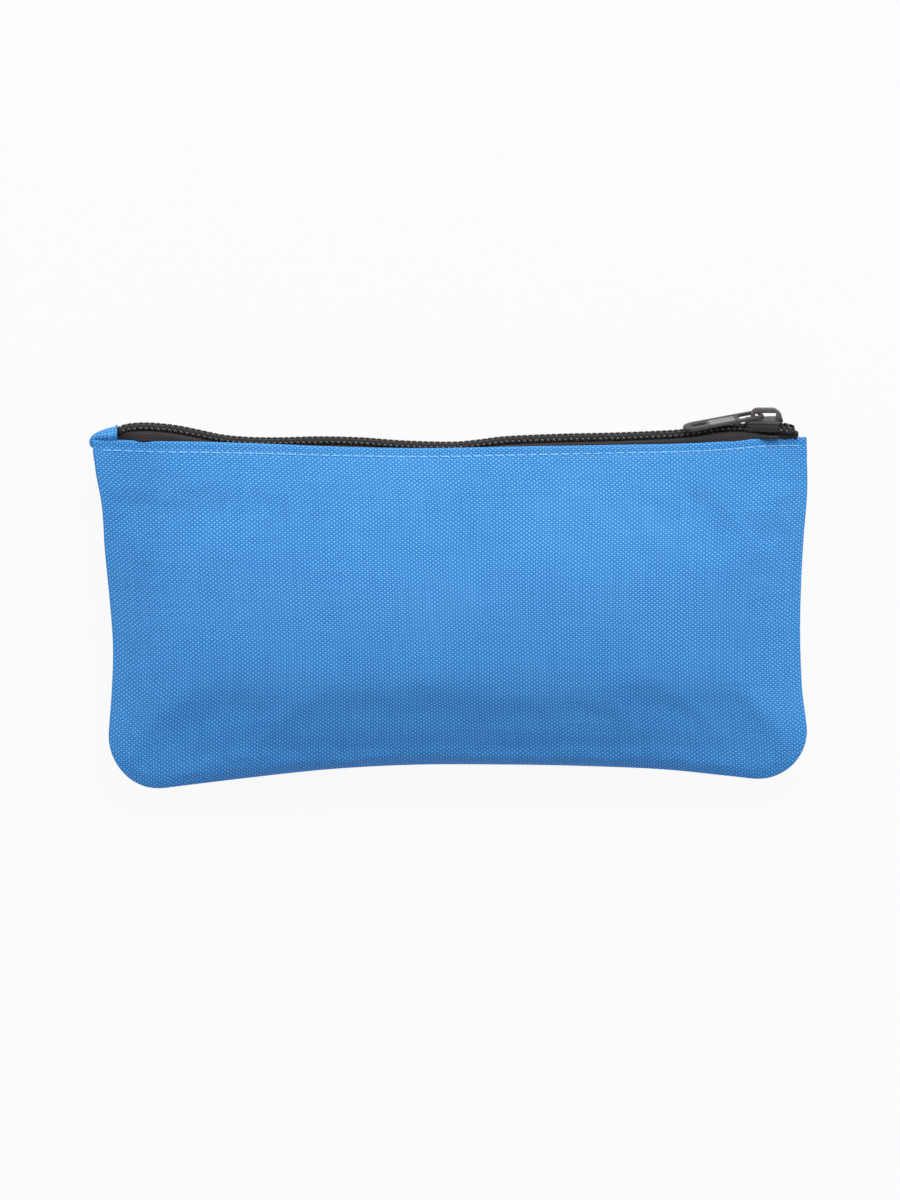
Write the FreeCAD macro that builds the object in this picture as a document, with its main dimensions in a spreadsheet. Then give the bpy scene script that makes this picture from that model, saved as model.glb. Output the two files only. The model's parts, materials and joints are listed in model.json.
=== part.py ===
import FreeCAD, Part
import math
import os
from types import SimpleNamespace

import Sketcher
from FreeCAD import Placement, Rotation, Vector

# A zip pencil case that lies on its back panel. Millimetres.
# X runs along the case, +Y points to the mouth with its zip and +Z out of the front panel.
# The origin is on the flat patch that the case rests on. Both panels meet in the seam plane.

# ---------------------------------------------------------------- driving sizes

SIZES = [
    ("case_length", 217, "mouth corner to mouth corner"),
    ("panel_height", 106.5, "bottom corners to the hem fold"),
    ("mouth_line", 52, "the hem fold, from the origin"),
    ("case_thickness", 29, "table to the top of the front panel"),
    ("seam_plane", 11.5, "height of the side and bottom seams over the table"),
    ("back_sink", 5, "how far the back panel would bulge below the table if it were free"),
    ("bottom_draw", 5.7, "how far the filling draws the middle of the bottom seam up"),
    ("left_lean", 4, "how far the left seam leans in at its bottom end"),
    ("left_draw", 3.3, "how far the filling draws the left seam in"),
    ("right_draw", 1.9, "how far the filling draws the right seam in"),
    ("left_round", 14, "radius of the bottom left corner"),
    ("right_round", 12, "radius of the bottom right corner"),
    ("side_fullness", 2.6, "how square the filled case is towards its sides, as an exponent"),
    ("edge_fullness", 0.6, "how steeply the panels rise from their seams, as an exponent"),
    ("panel_wall", 0.6, "coated fabric"),
    ("seam_gap", 0.3, "between the two panels along their seams"),
    ("seam_edge", 1, "thickness of one panel's turned edge at a seam"),
    ("mouth_end", 2, "seam plane to hem fold where the mouth meets a side seam"),
    ("mouth_ramp", 24, "length over which the mouth opens to its full width"),
    ("thread", 0.35, "sewing thread"),
    ("stitch_inset", 2.3, "topstitch below the hem fold"),
    ("seam_stitch_inset", 0.5, "seam stitching inside the panels' edges"),
    ("laid_on", 0.15, "air between a fabric piece and the one that it lies on"),
    ("tape", 0.5, "zip tape"),
    ("tape_show", 3.5, "tape between the coil and the hem fold"),
    ("tape_under", 0.5, "how far the tape's edge stands back from the coil's inner face"),
    ("tape_hem", 8, "tape sewn inside below the hem fold"),
    ("zip_inset", 3.5, "zip ends to the side seams"),
    ("coil_width", 2.8, "one coil across the chain"),
    ("coil_rise", 1.9, "coil over its tape"),
    ("coil_round", 0.5, "corners of a coil's section"),
    ("coil_mesh", 0.2, "play between the two closed coils"),
    ("coil_parting", 1.4, "how far behind the wedge's tip the coils start to part"),
    ("coil_parted", 0.2, "how far behind the wedge's shoulder they are fully parted"),
    ("cord", 0.8, "filler cord in the coil"),
    ("cord_play", 0.1, "air round the filler cord"),
    ("stitch_band", 0.8, "width of the stitching that holds a coil"),
    ("stitch_depth", 0.3, "depth at which that stitching lies in the coil"),
    ("chain_lift", 2.9, "tape over the hem folds at the chain's two ends"),
    ("chain_sag", 1.5, "tape below the hem folds in the middle"),
    ("lift_flat", 22, "length of lifted chain at each end"),
    ("lift_ramp", 34, "length over which the chain comes down"),
    ("lift_catch", 7, "length over which a side seam holds the chain down"),
    ("slider_from_seam", 14.1, "closed slider's middle to the right seam"),
    ("slider_length", 10.4, "slider along the zip"),
    ("slider_play", 0.25, "air between slider and chain"),
    ("slider_plate", 1.2, "top and bottom plate"),
    ("slider_wall", 0.75, "side walls of the slider"),
    ("throat_start", 1.2, "closed channel ends, behind the slider's middle"),
    ("throat_end", 2.6, "full-width channel starts, before the slider's middle"),
    ("wedge_width", 2.4, "wedge that parts the coils"),
    ("wedge_tip", 0.6, "wedge tip before the slider's middle"),
    ("wedge_shoulder", 3.4, "full wedge width before the slider's middle"),
    ("crown_width", 2, "arch across the slider"),
    ("crown_rise", 4.4, "arch over the top plate"),
    ("crown_bar", 1.35, "bar at the top of the arch"),
    ("crown_back", 3.1, "back face of the arch behind the slider's middle"),
    ("crown_front", 5, "front face of the arch before the slider's middle"),
    ("crown_leg", 1.4, "back leg of the arch"),
    ("crown_foot", 2.4, "front foot of the arch"),
    ("crown_round", 1.7, "outer corners of the arch"),
    ("puller_length", 25.2, "crossbar's middle to the tip"),
    ("puller_width", 7, "puller"),
    ("puller_plate", 1.4, "thickness of the puller and of its crossbar"),
    ("puller_slot", 4.2, "slot between the puller's rails"),
    ("puller_reach", 7, "crossbar's middle to the far end of the slot"),
    ("puller_seat", 0.45, "air between the arch's back leg and the crossbar"),
    ("puller_lift", 1.75, "crossbar's middle over the top plate"),
    ("puller_pitch", 9, "degrees that the resting puller points down"),
    ("puller_yaw", 8, "degrees that the resting puller points to the front"),
    ("recess_start", 8.2, "recessed panel of the puller, from the crossbar"),
    ("recess_length", 8.4, "recessed panel along the puller"),
    ("recess_width", 4.8, "recessed panel across the puller"),
    ("recess_depth", 0.3, "depth of the recessed panel"),
    ("hole_middle", 20, "oval hole's middle from the crossbar"),
    ("hole_length", 4.6, "oval hole along the puller"),
    ("hole_width", 2.4, "oval hole across the puller"),
    ("edge_round", 0.3, "worn edges of the slider and puller"),
    ("tab_length", 7.5, "end tab along the zip"),
    ("tab_play", 0.45, "air between the end tab and the zip"),
]

doc = FreeCAD.newDocument("pencil_case")
sheet = doc.addObject("Spreadsheet::Sheet", "sizes")
for row, (alias, value, meaning) in enumerate(SIZES, start=1):
    sheet.set(f"A{row}", alias)
    sheet.set(f"B{row}", str(value))
    sheet.set(f"C{row}", meaning)
    sheet.setAlias(f"B{row}", alias)
doc.recompute()
size = SimpleNamespace(**{alias: float(getattr(sheet, alias)) for alias, _, _ in SIZES})

FRONT = 1
BACK = -1
LEFT = -1
RIGHT = 1

# ---------------------------------------------------------------- places worked out once

half_length = size.case_length / 2
corner_y = size.mouth_line - size.panel_height
far = size.case_length + size.panel_height
flat_mouth = size.coil_mesh / 2 + size.coil_width + size.tape_show
slider_x = half_length - size.slider_from_seam
channel = size.tape + size.coil_rise + 2 * size.slider_play
slider_y = size.mouth_line + size.chain_lift + size.coil_rise / 2
open_coil = size.wedge_width / 2 + size.slider_play
channel_narrow = size.coil_mesh / 2 + size.coil_width + size.slider_play
channel_wide = open_coil + size.coil_width + size.slider_play
fullest_height = size.edge_fullness / (1 + size.edge_fullness)


def smooth(t):
    """Rise from 0 to 1 with level ends."""
    t = min(max(t, 0.0), 1.0)
    return t * t * (3 - 2 * t)


def spread(count):
    """Stations from -1 to 1, closer together at both ends."""
    return [math.sin(math.pi * (i / (count - 1) - 0.5)) for i in range(count)]


# ---------------------------------------------------------------- the panels' shape


def seam_x(end, height):
    """Side seam at a share of the panel's height, 0 at the bottom and 1 at the mouth."""
    if end == LEFT:
        drawn = size.left_lean * (1 - height) + size.left_draw * math.sin(math.pi * height)
    else:
        drawn = size.right_draw * math.sin(math.pi * height)
    return end * (half_length - drawn)


def bottom_y(along):
    """Bottom seam at a share of the length, -1 at the left and 1 at the right."""
    return corner_y + size.bottom_draw * (1 - along * along)


def mouth_half(along):
    """Distance from the seam plane to a hem fold."""
    from_seam = half_length * (1 - abs(along))
    return size.mouth_end + (flat_mouth - size.mouth_end) * smooth(from_seam / size.mouth_ramp)


def puff(along, height):
    """Shape of the filled panel: 0 along the seams and the mouth, 1 at its fullest."""
    across = (1 - min(abs(along), 1) ** size.side_fullness) ** size.edge_fullness
    peak = fullest_height**size.edge_fullness * (1 - fullest_height)
    return across * height**size.edge_fullness * (1 - height) / peak


def panel_depth(side, along, height):
    """Outer face of a panel, measured from the seam plane."""
    edge = size.seam_gap / 2 + size.seam_edge
    level = (flat_mouth - edge) * fullest_height**2
    if side == FRONT:
        bulge = size.case_thickness - size.seam_plane - edge - level
    else:
        bulge = size.seam_plane + size.back_sink - edge - level
    return edge + (mouth_half(along) - edge) * height**2 + bulge * puff(along, height)


def panel_point(side, along, height, inset):
    """Point of a panel's outer face, or of its inner face when inset is the wall."""
    left = seam_x(LEFT, height) + inset
    right = seam_x(RIGHT, height) - inset
    low = bottom_y(along) + inset
    x = (left + right) / 2 + (right - left) / 2 * along
    y = low + (size.mouth_line - low) * height
    return Vector(x, y, size.seam_plane + side * (panel_depth(side, along, height) - inset))


def face_z(side, x, y, inset):
    """Height of a panel's face over a place in plan."""
    along, height = 0.0, 0.5
    for _ in range(8):
        low = bottom_y(along) + inset
        height = (y - low) / (size.mouth_line - low)
        left = seam_x(LEFT, height) + inset
        right = seam_x(RIGHT, height) - inset
        along = (x - (left + right) / 2) / ((right - left) / 2)
    z = panel_point(side, along, max(height, 0.0), inset).z
    return max(z, inset) if side == BACK else z


def corner_waste(end, radius, inset):
    """What a rounded bottom corner leaves out of the square one."""
    centre = Vector(end * (abs(seam_x(end, 0)) - radius), corner_y + radius, -far)
    outward = far if end == LEFT else 0
    block = Part.makeBox(far, far, 2 * far, Vector(centre.x - outward, centre.y - far, -far))
    return block.cut(Part.makeCylinder(radius - inset, 2 * far, centre))


def pouch_block(side, inset):
    """Solid between the seam plane and a panel's outer face, or what its inner face leaves."""
    past_mouth = 1.05
    heights = [(share + 1) / 2 * past_mouth for share in spread(13)]
    grid = [[panel_point(side, along, height, inset) for height in heights] for along in spread(17)]
    skin = Part.BSplineSurface()
    skin.interpolate(grid)
    block = skin.toShape().extrude(Vector(0, 0, -side * far))
    y_end = size.mouth_line if inset == 0 else far
    z_seam = size.seam_plane + side * size.seam_gap / 2 if inset == 0 else size.seam_plane - side * far / 2
    z_out = far if side == FRONT else inset
    room = Part.makeBox(2 * far, y_end + far, abs(z_out - z_seam), Vector(-far, -far, min(z_out, z_seam)))
    block = block.common(room)
    for end, radius in ((LEFT, size.left_round), (RIGHT, size.right_round)):
        block = block.cut(corner_waste(end, radius, inset))
    return block


def panel(side):
    """One panel: an open shell of even wall, flat where the back panel rests."""
    return pouch_block(side, 0).cut(pouch_block(side, size.panel_wall))


# ---------------------------------------------------------------- bars of one section


def smooth_edge(points):
    """One curve through the points."""
    curve = Part.BSplineCurve()
    curve.interpolate(points)
    return curve.toShape()


def ring(sections):
    """Faces that join equal closed polygons, corner by corner."""
    edges = [smooth_edge(list(corner)) for corner in zip(*sections)]
    return [Part.makeRuledSurface(edge, edges[i - 1]) for i, edge in enumerate(edges)]


def bar(sections, holes=None):
    """Closed solid through equal polygons, with a channel through it if holes are given."""
    faces = ring(sections)
    if holes:
        faces += ring(holes)
    for end in (0, -1):
        wires = [Part.makePolygon(sections[end] + [sections[end][0]])]
        if holes:
            wires.append(Part.makePolygon(holes[end] + [holes[end][0]]))
        faces.append(Part.Face(wires))
    shell = Part.Shell(faces)
    shell.sewShape()
    solid = Part.Solid(shell)
    if solid.Volume < 0:
        solid.reverse()
    return solid


def thicken(line, thickness):
    """Closed polygon round a polyline, in the plane of its first two coordinates."""
    near, away = [], []
    for i, point in enumerate(line):
        before = line[max(i - 1, 0)]
        after = line[min(i + 1, len(line) - 1)]
        first = Vector(*point) - Vector(*before)
        second = Vector(*after) - Vector(*point)
        first = (first if first.Length else second).normalize()
        second = (second if second.Length else first).normalize()
        mitre = (first + second).normalize()
        reach = thickness / 2 / max(mitre.dot(first), 0.5)
        normal = Vector(-mitre.y, mitre.x, 0) * reach
        near.append(Vector(*point) + normal)
        away.append(Vector(*point) - normal)
    return near + away[::-1]


# ---------------------------------------------------------------- the zip's route


def seam_distance(x):
    """Distance of a place on the zip from the nearer side seam."""
    return half_length - abs(x)


def pulled(x):
    """1 where the chain stands up near the ends, 0 where it lies between the hems."""
    return 1 - smooth((seam_distance(x) - size.lift_flat) / size.lift_ramp)


def caught(x):
    """0 at a side seam, which holds the chain down, and 1 away from it."""
    return smooth(seam_distance(x) / size.lift_catch)


def tape_y(x):
    """Middle of the tape's thickness under the coil."""
    lift = (size.chain_lift + size.chain_sag) * pulled(x) - size.chain_sag
    return size.mouth_line + caught(x) * lift


def coil_split(x):
    """Distance from the seam plane to a coil's inner face."""
    closed = size.coil_mesh / 2
    start = slider_x + size.wedge_tip - size.coil_parting
    end = slider_x + size.wedge_shoulder - size.coil_parted
    return closed + (open_coil - closed) * smooth((x - start) / (end - start))


def zip_stations():
    """Places along the zip, closer together at its ends and in the slider."""
    end = half_length - size.zip_inset
    bounds = [-end, -end + size.lift_catch * 2, slider_x - size.slider_length * 0.6, end]
    steps = [5, 26, 14]
    stations = []
    for start, stop, count in zip(bounds, bounds[1:], steps):
        stations += [start + (stop - start) * i / count for i in range(count)]
    return stations + [end]


def across_zip(x, side, offsets):
    """Polygon across the zip from (distance from the seam plane, y) pairs."""
    return [Vector(x, y, size.seam_plane + side * z) for z, y in offsets]


def under_hem(side, x, y):
    """Distance from the seam plane to the middle of a tape that lies inside a panel."""
    inner_face = abs(face_z(side, x, min(y, size.mouth_line), size.panel_wall) - size.seam_plane)
    return inner_face - size.laid_on - size.tape / 2


def tape_line(side, x):
    """Middle of the tape across the zip: flat under the coil, over the hem's edge and down inside it."""
    pull = pulled(x)
    top = tape_y(x)
    start = coil_split(x) + size.tape_under
    past_slider = channel_wide + size.slider_wall + size.slider_play + size.tape / 2
    beside_slider = smooth(2 * pull - 1) * caught(x)
    hem_z = under_hem(side, x, top + size.tape / 2)
    flat_end = max(hem_z + (past_slider - hem_z) * beside_slider, start + size.tape)

    turn = size.mouth_line - size.tape - size.tape_show / 2 * (1 - pull)
    turn_z = under_hem(side, x, turn)
    over_edge = size.mouth_line + size.laid_on + size.tape / 2
    under_slider = slider_y - channel / 2 - size.slider_plate - size.slider_play - size.tape / 2
    stands_over = smooth(2 * pull)
    low_knee = turn + 0.4 * (top - turn)
    high_knee = over_edge + (under_slider - over_edge) * caught(x)
    knee = min(low_knee + (high_knee - low_knee) * stands_over, top - 0.8 * size.tape)
    low_neck = (knee + turn) / 2
    neck = min(low_neck + (over_edge - low_neck) * stands_over, knee - 0.2 * size.tape)
    low_neck_z = (flat_end + turn_z) / 2
    neck_z = low_neck_z + (under_hem(side, x, size.mouth_line) - low_neck_z) * stands_over

    low = size.mouth_line - size.tape_hem
    low_z = under_hem(side, x, low)
    return [(start, top), (flat_end, top), (flat_end, knee), (neck_z, neck), (turn_z, turn), (low_z, low)]


def tape(side):
    """Woven tape from under its coil to its lower edge inside the panel."""
    sections = []
    for x in zip_stations():
        outline = thicken([(z, y, 0) for z, y in tape_line(side, x)], size.tape)
        sections.append(across_zip(x, side, [(point.x, point.y) for point in outline]))
    return bar(sections)


def coil(side):
    """Envelope of one coil, with the channel of its filler cord and the bed of its stitching."""
    width = size.coil_width
    rise = size.coil_rise
    round_off = size.coil_round
    bed_start = width - round_off - size.stitch_band
    channel_half = size.cord / 2 + size.cord_play
    profile = [
        (0, round_off), (0, rise - round_off), (round_off, rise), (bed_start, rise),
        (bed_start, rise - size.stitch_depth), (width - round_off, rise - size.stitch_depth),
        (width - round_off, rise), (width, rise - round_off), (width, round_off),
        (width - round_off, 0), (round_off, 0),
    ]
    middle = cord_middle()
    square = [(-1, -1), (1, -1), (1, 1), (-1, 1)]
    channel_profile = [(middle[0] + a * channel_half, middle[1] + b * channel_half) for a, b in square]
    return bar(coil_sections(side, profile), coil_sections(side, channel_profile))


def cord_middle():
    """Middle of the filler cord in a coil's own section."""
    return size.coil_width / 2, (size.coil_rise - size.stitch_depth) / 2


def coil_sections(side, profile):
    """A profile of the coil at every station, laid on the tape."""
    sections = []
    for x in zip_stations():
        base = tape_y(x) + size.tape / 2
        split = coil_split(x)
        sections.append(across_zip(x, side, [(split + z, base + y) for z, y in profile]))
    return sections


def filler_cord(side):
    """Cord inside the coil."""
    z, y = cord_middle()
    turns = [math.pi * (i + 0.5) / 4 for i in range(8)]
    radius = size.cord / 2
    profile = [(z + radius * math.cos(turn), y + radius * math.sin(turn)) for turn in turns]
    return bar(coil_sections(side, profile))


def coil_stitching(side):
    """Band of chain stitch that lies in the coil's bed and holds it to the tape."""
    play = size.cord_play / 2
    z_end = size.coil_width - size.coil_round - play
    z_start = z_end - size.stitch_band + 2 * play
    low = size.coil_rise - size.stitch_depth + play
    high = size.coil_rise
    return bar(coil_sections(side, [(z_start, low), (z_end, low), (z_end, high), (z_start, high)]))


def end_tab_stations():
    """Places along the end tab, from the left seam to its open end."""
    start = -half_length + size.zip_inset / 6
    return [start + size.tab_length * i / 8 for i in range(9)]


def end_tab_cavity(x):
    """Half width and top of the room that the end tab leaves for the zip."""
    inside = max(x, -half_length + size.zip_inset)
    widest = max(z for side in (FRONT, BACK) for z, _ in tape_line(side, inside))
    covered = smooth(seam_distance(x) / size.zip_inset)
    reach = size.mouth_end / 2 + (widest - size.mouth_end / 2) * covered + size.tape / 2
    top = tape_y(x) + size.tape / 2 + size.coil_rise * covered
    return reach + size.tab_play, top + size.tab_play


def end_tab():
    """Folded strip over the left end of the zip, down to both hems."""
    wall = size.panel_wall
    low = size.mouth_line + size.laid_on
    sections = []
    for x in end_tab_stations():
        reach, top = end_tab_cavity(x)
        out = reach + wall
        outer = [(-out, low), (-out, top + wall), (out, top + wall), (out, low)]
        inner = [(reach, low), (reach, top), (-reach, top), (-reach, low)]
        sections.append(across_zip(x, FRONT, outer + inner))
    return bar(sections)


# ---------------------------------------------------------------- sewing thread


def thread_bar(points, out, width, thickness):
    """Flat thread through the points, with its width and thickness along given directions."""
    sections = []
    for point in points:
        a = out[0] * (width / 2)
        b = out[1] * (thickness / 2)
        sections.append([point - a - b, point + a - b, point + a + b, point - a + b])
    return bar(sections)


def topstitch(side):
    """Thread along a hem, laid on the panel's outer face."""
    end = half_length - size.seam_edge - size.zip_inset
    y = size.mouth_line - size.stitch_inset
    points = []
    for along in spread(31):
        x = end * along
        z = face_z(side, x, y, 0)
        points.append(Vector(x, y, z + side * (size.thread / 2 + size.laid_on)))
    return thread_bar(points, (Vector(0, 1, 0), Vector(0, 0, 1)), size.thread, size.thread)


def side_seam_thread(end):
    """Stitching inside a side seam, from the rounded corner up to the mouth."""
    radius = size.left_round if end == LEFT else size.right_round
    inset = size.panel_wall + size.seam_stitch_inset
    low = (radius + size.seam_edge) / size.panel_height
    points = []
    for i in range(9):
        height = low + (0.97 - low) * i / 8
        y = corner_y + size.panel_height * height
        points.append(Vector(seam_x(end, height) - end * inset, y, size.seam_plane))
    return thread_bar(points, (Vector(1, 0, 0), Vector(0, 0, 1)), size.thread, size.thread)


def bottom_seam_thread():
    """Stitching inside the bottom seam, from corner to corner."""
    inset = size.panel_wall + size.seam_stitch_inset
    left = seam_x(LEFT, 0) + size.left_round
    right = seam_x(RIGHT, 0) - size.right_round
    points = []
    for i in range(13):
        x = left + (right - left) * i / 12
        points.append(Vector(x, bottom_y(x / half_length) + inset, size.seam_plane))
    return thread_bar(points, (Vector(0, 1, 0), Vector(0, 0, 1)), size.thread, size.thread)


def end_tab_stitch():
    """Short row of stitches down the front of the end tab."""
    x = end_tab_stations()[-1] - size.stitch_inset
    reach, top = end_tab_cavity(x)
    out = reach + size.panel_wall + size.laid_on + size.thread / 2
    low = size.mouth_line + size.laid_on + size.thread
    high = top - size.thread
    points = [Vector(x, low + (high - low) * i / 3, size.seam_plane + out) for i in range(4)]
    return thread_bar(points, (Vector(1, 0, 0), Vector(0, 0, 1)), size.thread, size.thread)


# ---------------------------------------------------------------- sketches and features


def add_sketch(body, name, role, offset=None):
    """Sketch on one of the body's own origin planes, moved along its normal by an expression."""
    sketch = body.newObject("Sketcher::SketchObject", name)
    plane = next(item for item in body.Origin.OriginFeatures if item.Role == role)
    sketch.AttachmentSupport = [(plane, "")]
    sketch.MapMode = "FlatFace"
    if offset:
        sketch.setExpression("AttachmentOffset.Base.z", offset)
    return sketch


def evaluate(expression):
    """Present value of an expression in the sheet's sizes."""
    return float(sheet.evalExpression(expression))


def bind_point(sketch, line, end, x, y):
    """Hold one end of a line at a place given by two expressions."""
    for kind, expression in (("DistanceX", x), ("DistanceY", y)):
        value = evaluate(expression)
        number = sketch.addConstraint(Sketcher.Constraint(kind, -1, 1, line, end, value))
        sketch.setExpression(f"Constraints[{number}]", expression)


def polygon(sketch, corners):
    """Closed outline through corners that are given as pairs of expressions."""
    places = [Vector(evaluate(x), evaluate(y), 0) for x, y in corners]
    lines = []
    for i, place in enumerate(places):
        following = places[(i + 1) % len(places)]
        lines.append(sketch.addGeometry(Part.LineSegment(place, following), False))
    for i, line in enumerate(lines):
        following = lines[(i + 1) % len(lines)]
        sketch.addConstraint(Sketcher.Constraint("Coincident", line, 2, following, 1))
        bind_point(sketch, line, 1, *corners[i])


def circle(sketch, x, y, radius):
    """Circle whose middle and radius are expressions."""
    middle = Vector(evaluate(x), evaluate(y), 0)
    item = sketch.addGeometry(Part.Circle(middle, Vector(0, 0, 1), evaluate(radius)), False)
    bind_point(sketch, item, 3, x, y)
    number = sketch.addConstraint(Sketcher.Constraint("Radius", item, evaluate(radius)))
    sketch.setExpression(f"Constraints[{number}]", radius)


def pad(body, sketch, name, length, symmetric=False):
    """Pad of a sketch by an expression, along its normal or to both sides."""
    feature = body.newObject("PartDesign::Pad", name)
    feature.Profile = sketch
    feature.SideType = "Symmetric" if symmetric else "One side"
    feature.setExpression("Length", length)
    sketch.Visibility = False
    doc.recompute()
    return feature


def pocket(body, sketch, name, length, symmetric=False):
    """Pocket of a sketch against its normal, checked to have cut something."""
    before = body.Shape.Volume
    feature = body.newObject("PartDesign::Pocket", name)
    feature.Profile = sketch
    feature.SideType = "Symmetric" if symmetric else "One side"
    feature.setExpression("Length", length)
    doc.recompute()
    if body.Shape.Volume >= before:
        raise RuntimeError(f"{name} cuts nothing")
    return feature


def round_edges(body, name, radius, wanted):
    """Fillet of the edges for which wanted(edge) holds."""
    base = body.Tip
    edges = [f"Edge{i}" for i, edge in enumerate(base.Shape.Edges, start=1) if wanted(edge)]
    if not edges:
        raise RuntimeError(f"{name} finds no edges")
    feature = body.newObject("PartDesign::Fillet", name)
    feature.Base = (base, edges)
    feature.setExpression("Radius", radius)
    body.Tip = feature
    doc.recompute()


def runs_along(edge, direction):
    """True for a straight edge parallel to a direction."""
    if edge.Curve.TypeId != "Part::GeomLine":
        return False
    return abs(edge.Curve.Direction.dot(direction)) > 0.999


# ---------------------------------------------------------------- slider and puller


def channel_corners(outset):
    """One side of the channel as expression pairs from back to front, moved out by outset."""
    narrow = "(sizes.coil_mesh / 2 + sizes.coil_width + sizes.slider_play"
    wide = "(sizes.wedge_width / 2 + 2 * sizes.slider_play + sizes.coil_width"
    return [
        ("-sizes.slider_length / 2", f"{narrow} + {outset})"),
        ("-sizes.throat_start", f"{narrow} + {outset})"),
        ("sizes.throat_end", f"{wide} + {outset})"),
        ("sizes.slider_length / 2", f"{wide} + {outset})"),
    ]


def mirrored(corners):
    """The same corners on the other side, in the opposite order."""
    return [(x, f"-{y}") for x, y in reversed(corners)]


def make_slider():
    """One casting, drawn with X along the chain, Z away from it and the chain at z = 0."""
    body = doc.addObject("PartDesign::Body", "slider_body")
    doc.recompute()
    half_channel = "(sizes.tape + sizes.coil_rise + 2 * sizes.slider_play) / 2"
    wall = "sizes.slider_wall"
    outer = channel_corners(wall)
    inner = channel_corners("0")

    top = add_sketch(body, "top_plate_outline", "XY_Plane", half_channel)
    polygon(top, outer + mirrored(outer))
    pad(body, top, "top_plate", "sizes.slider_plate")

    wall_foot = f"-({half_channel}) + sizes.tape + 2 * sizes.slider_play"
    walls = add_sketch(body, "wall_outline", "XY_Plane", wall_foot)
    polygon(walls, inner + outer[::-1])
    polygon(walls, mirrored(inner) + mirrored(outer)[::-1])
    pad(body, walls, "walls", "sizes.coil_rise")

    wedge = add_sketch(body, "wedge_outline", "XY_Plane", f"-({half_channel})")
    half_wedge = "sizes.wedge_width / 2"
    side = [("sizes.wedge_shoulder", half_wedge), ("sizes.slider_length / 2", half_wedge)]
    polygon(wedge, [("sizes.wedge_tip", "0")] + side + mirrored([(x, f"({y})") for x, y in side]))
    pad(body, wedge, "wedge", f"2 * ({half_channel})")

    bottom = add_sketch(body, "bottom_plate_outline", "XY_Plane", f"-({half_channel}) - sizes.slider_plate")
    polygon(bottom, outer + mirrored(outer))
    pad(body, bottom, "bottom_plate", "sizes.slider_plate")

    level = f"({half_channel} + sizes.slider_plate)"
    crown = add_sketch(body, "crown_outline", "XZ_Plane")
    polygon(crown, [
        ("-sizes.crown_back", f"{level} - sizes.slider_plate / 2"),
        ("sizes.crown_front", f"{level} - sizes.slider_plate / 2"),
        ("sizes.crown_front", f"{level} + sizes.crown_rise"),
        ("-sizes.crown_back", f"{level} + sizes.crown_rise"),
    ])
    pad(body, crown, "crown", "sizes.crown_width", symmetric=True)

    window = add_sketch(body, "crown_window", "XZ_Plane")
    window_back = "(-sizes.crown_back + sizes.crown_leg)"
    window_front = "(sizes.crown_front - sizes.crown_foot)"
    window_top = f"{level} + sizes.crown_rise - sizes.crown_bar"
    polygon(window, [
        (window_back, level), (window_front, level),
        (window_front, window_top), (window_back, window_top),
    ])
    pocket(body, window, "window", "2 * sizes.crown_width", symmetric=True)

    top_z = channel / 2 + size.slider_plate + size.crown_rise
    window_z = top_z - size.crown_bar
    across = Vector(0, 1, 0)
    upright = Vector(0, 0, 1)
    round_edges(
        body, "crown_corners", "sizes.crown_round",
        lambda edge: runs_along(edge, across) and abs(edge.CenterOfMass.z - top_z) < 0.01,
    )
    round_edges(
        body, "window_corners", "sizes.crown_round / 2",
        lambda edge: runs_along(edge, across) and abs(edge.CenterOfMass.z - window_z) < 0.01,
    )
    half_slider = size.slider_length / 2

    def is_plate_corner(edge):
        place = edge.CenterOfMass
        outer_y = size.slider_wall + (channel_narrow if place.x < 0 else channel_wide)
        at_end = abs(abs(place.x) - half_slider) < 0.01
        return runs_along(edge, upright) and at_end and abs(abs(place.y) - outer_y) < 0.01

    round_edges(body, "plate_corners", "2 * sizes.edge_round", is_plate_corner)
    turned = Rotation(Vector(1, 0, 0), -90)
    body.Placement = Placement(Vector(slider_x, slider_y, size.seam_plane), turned)
    return body


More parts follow.
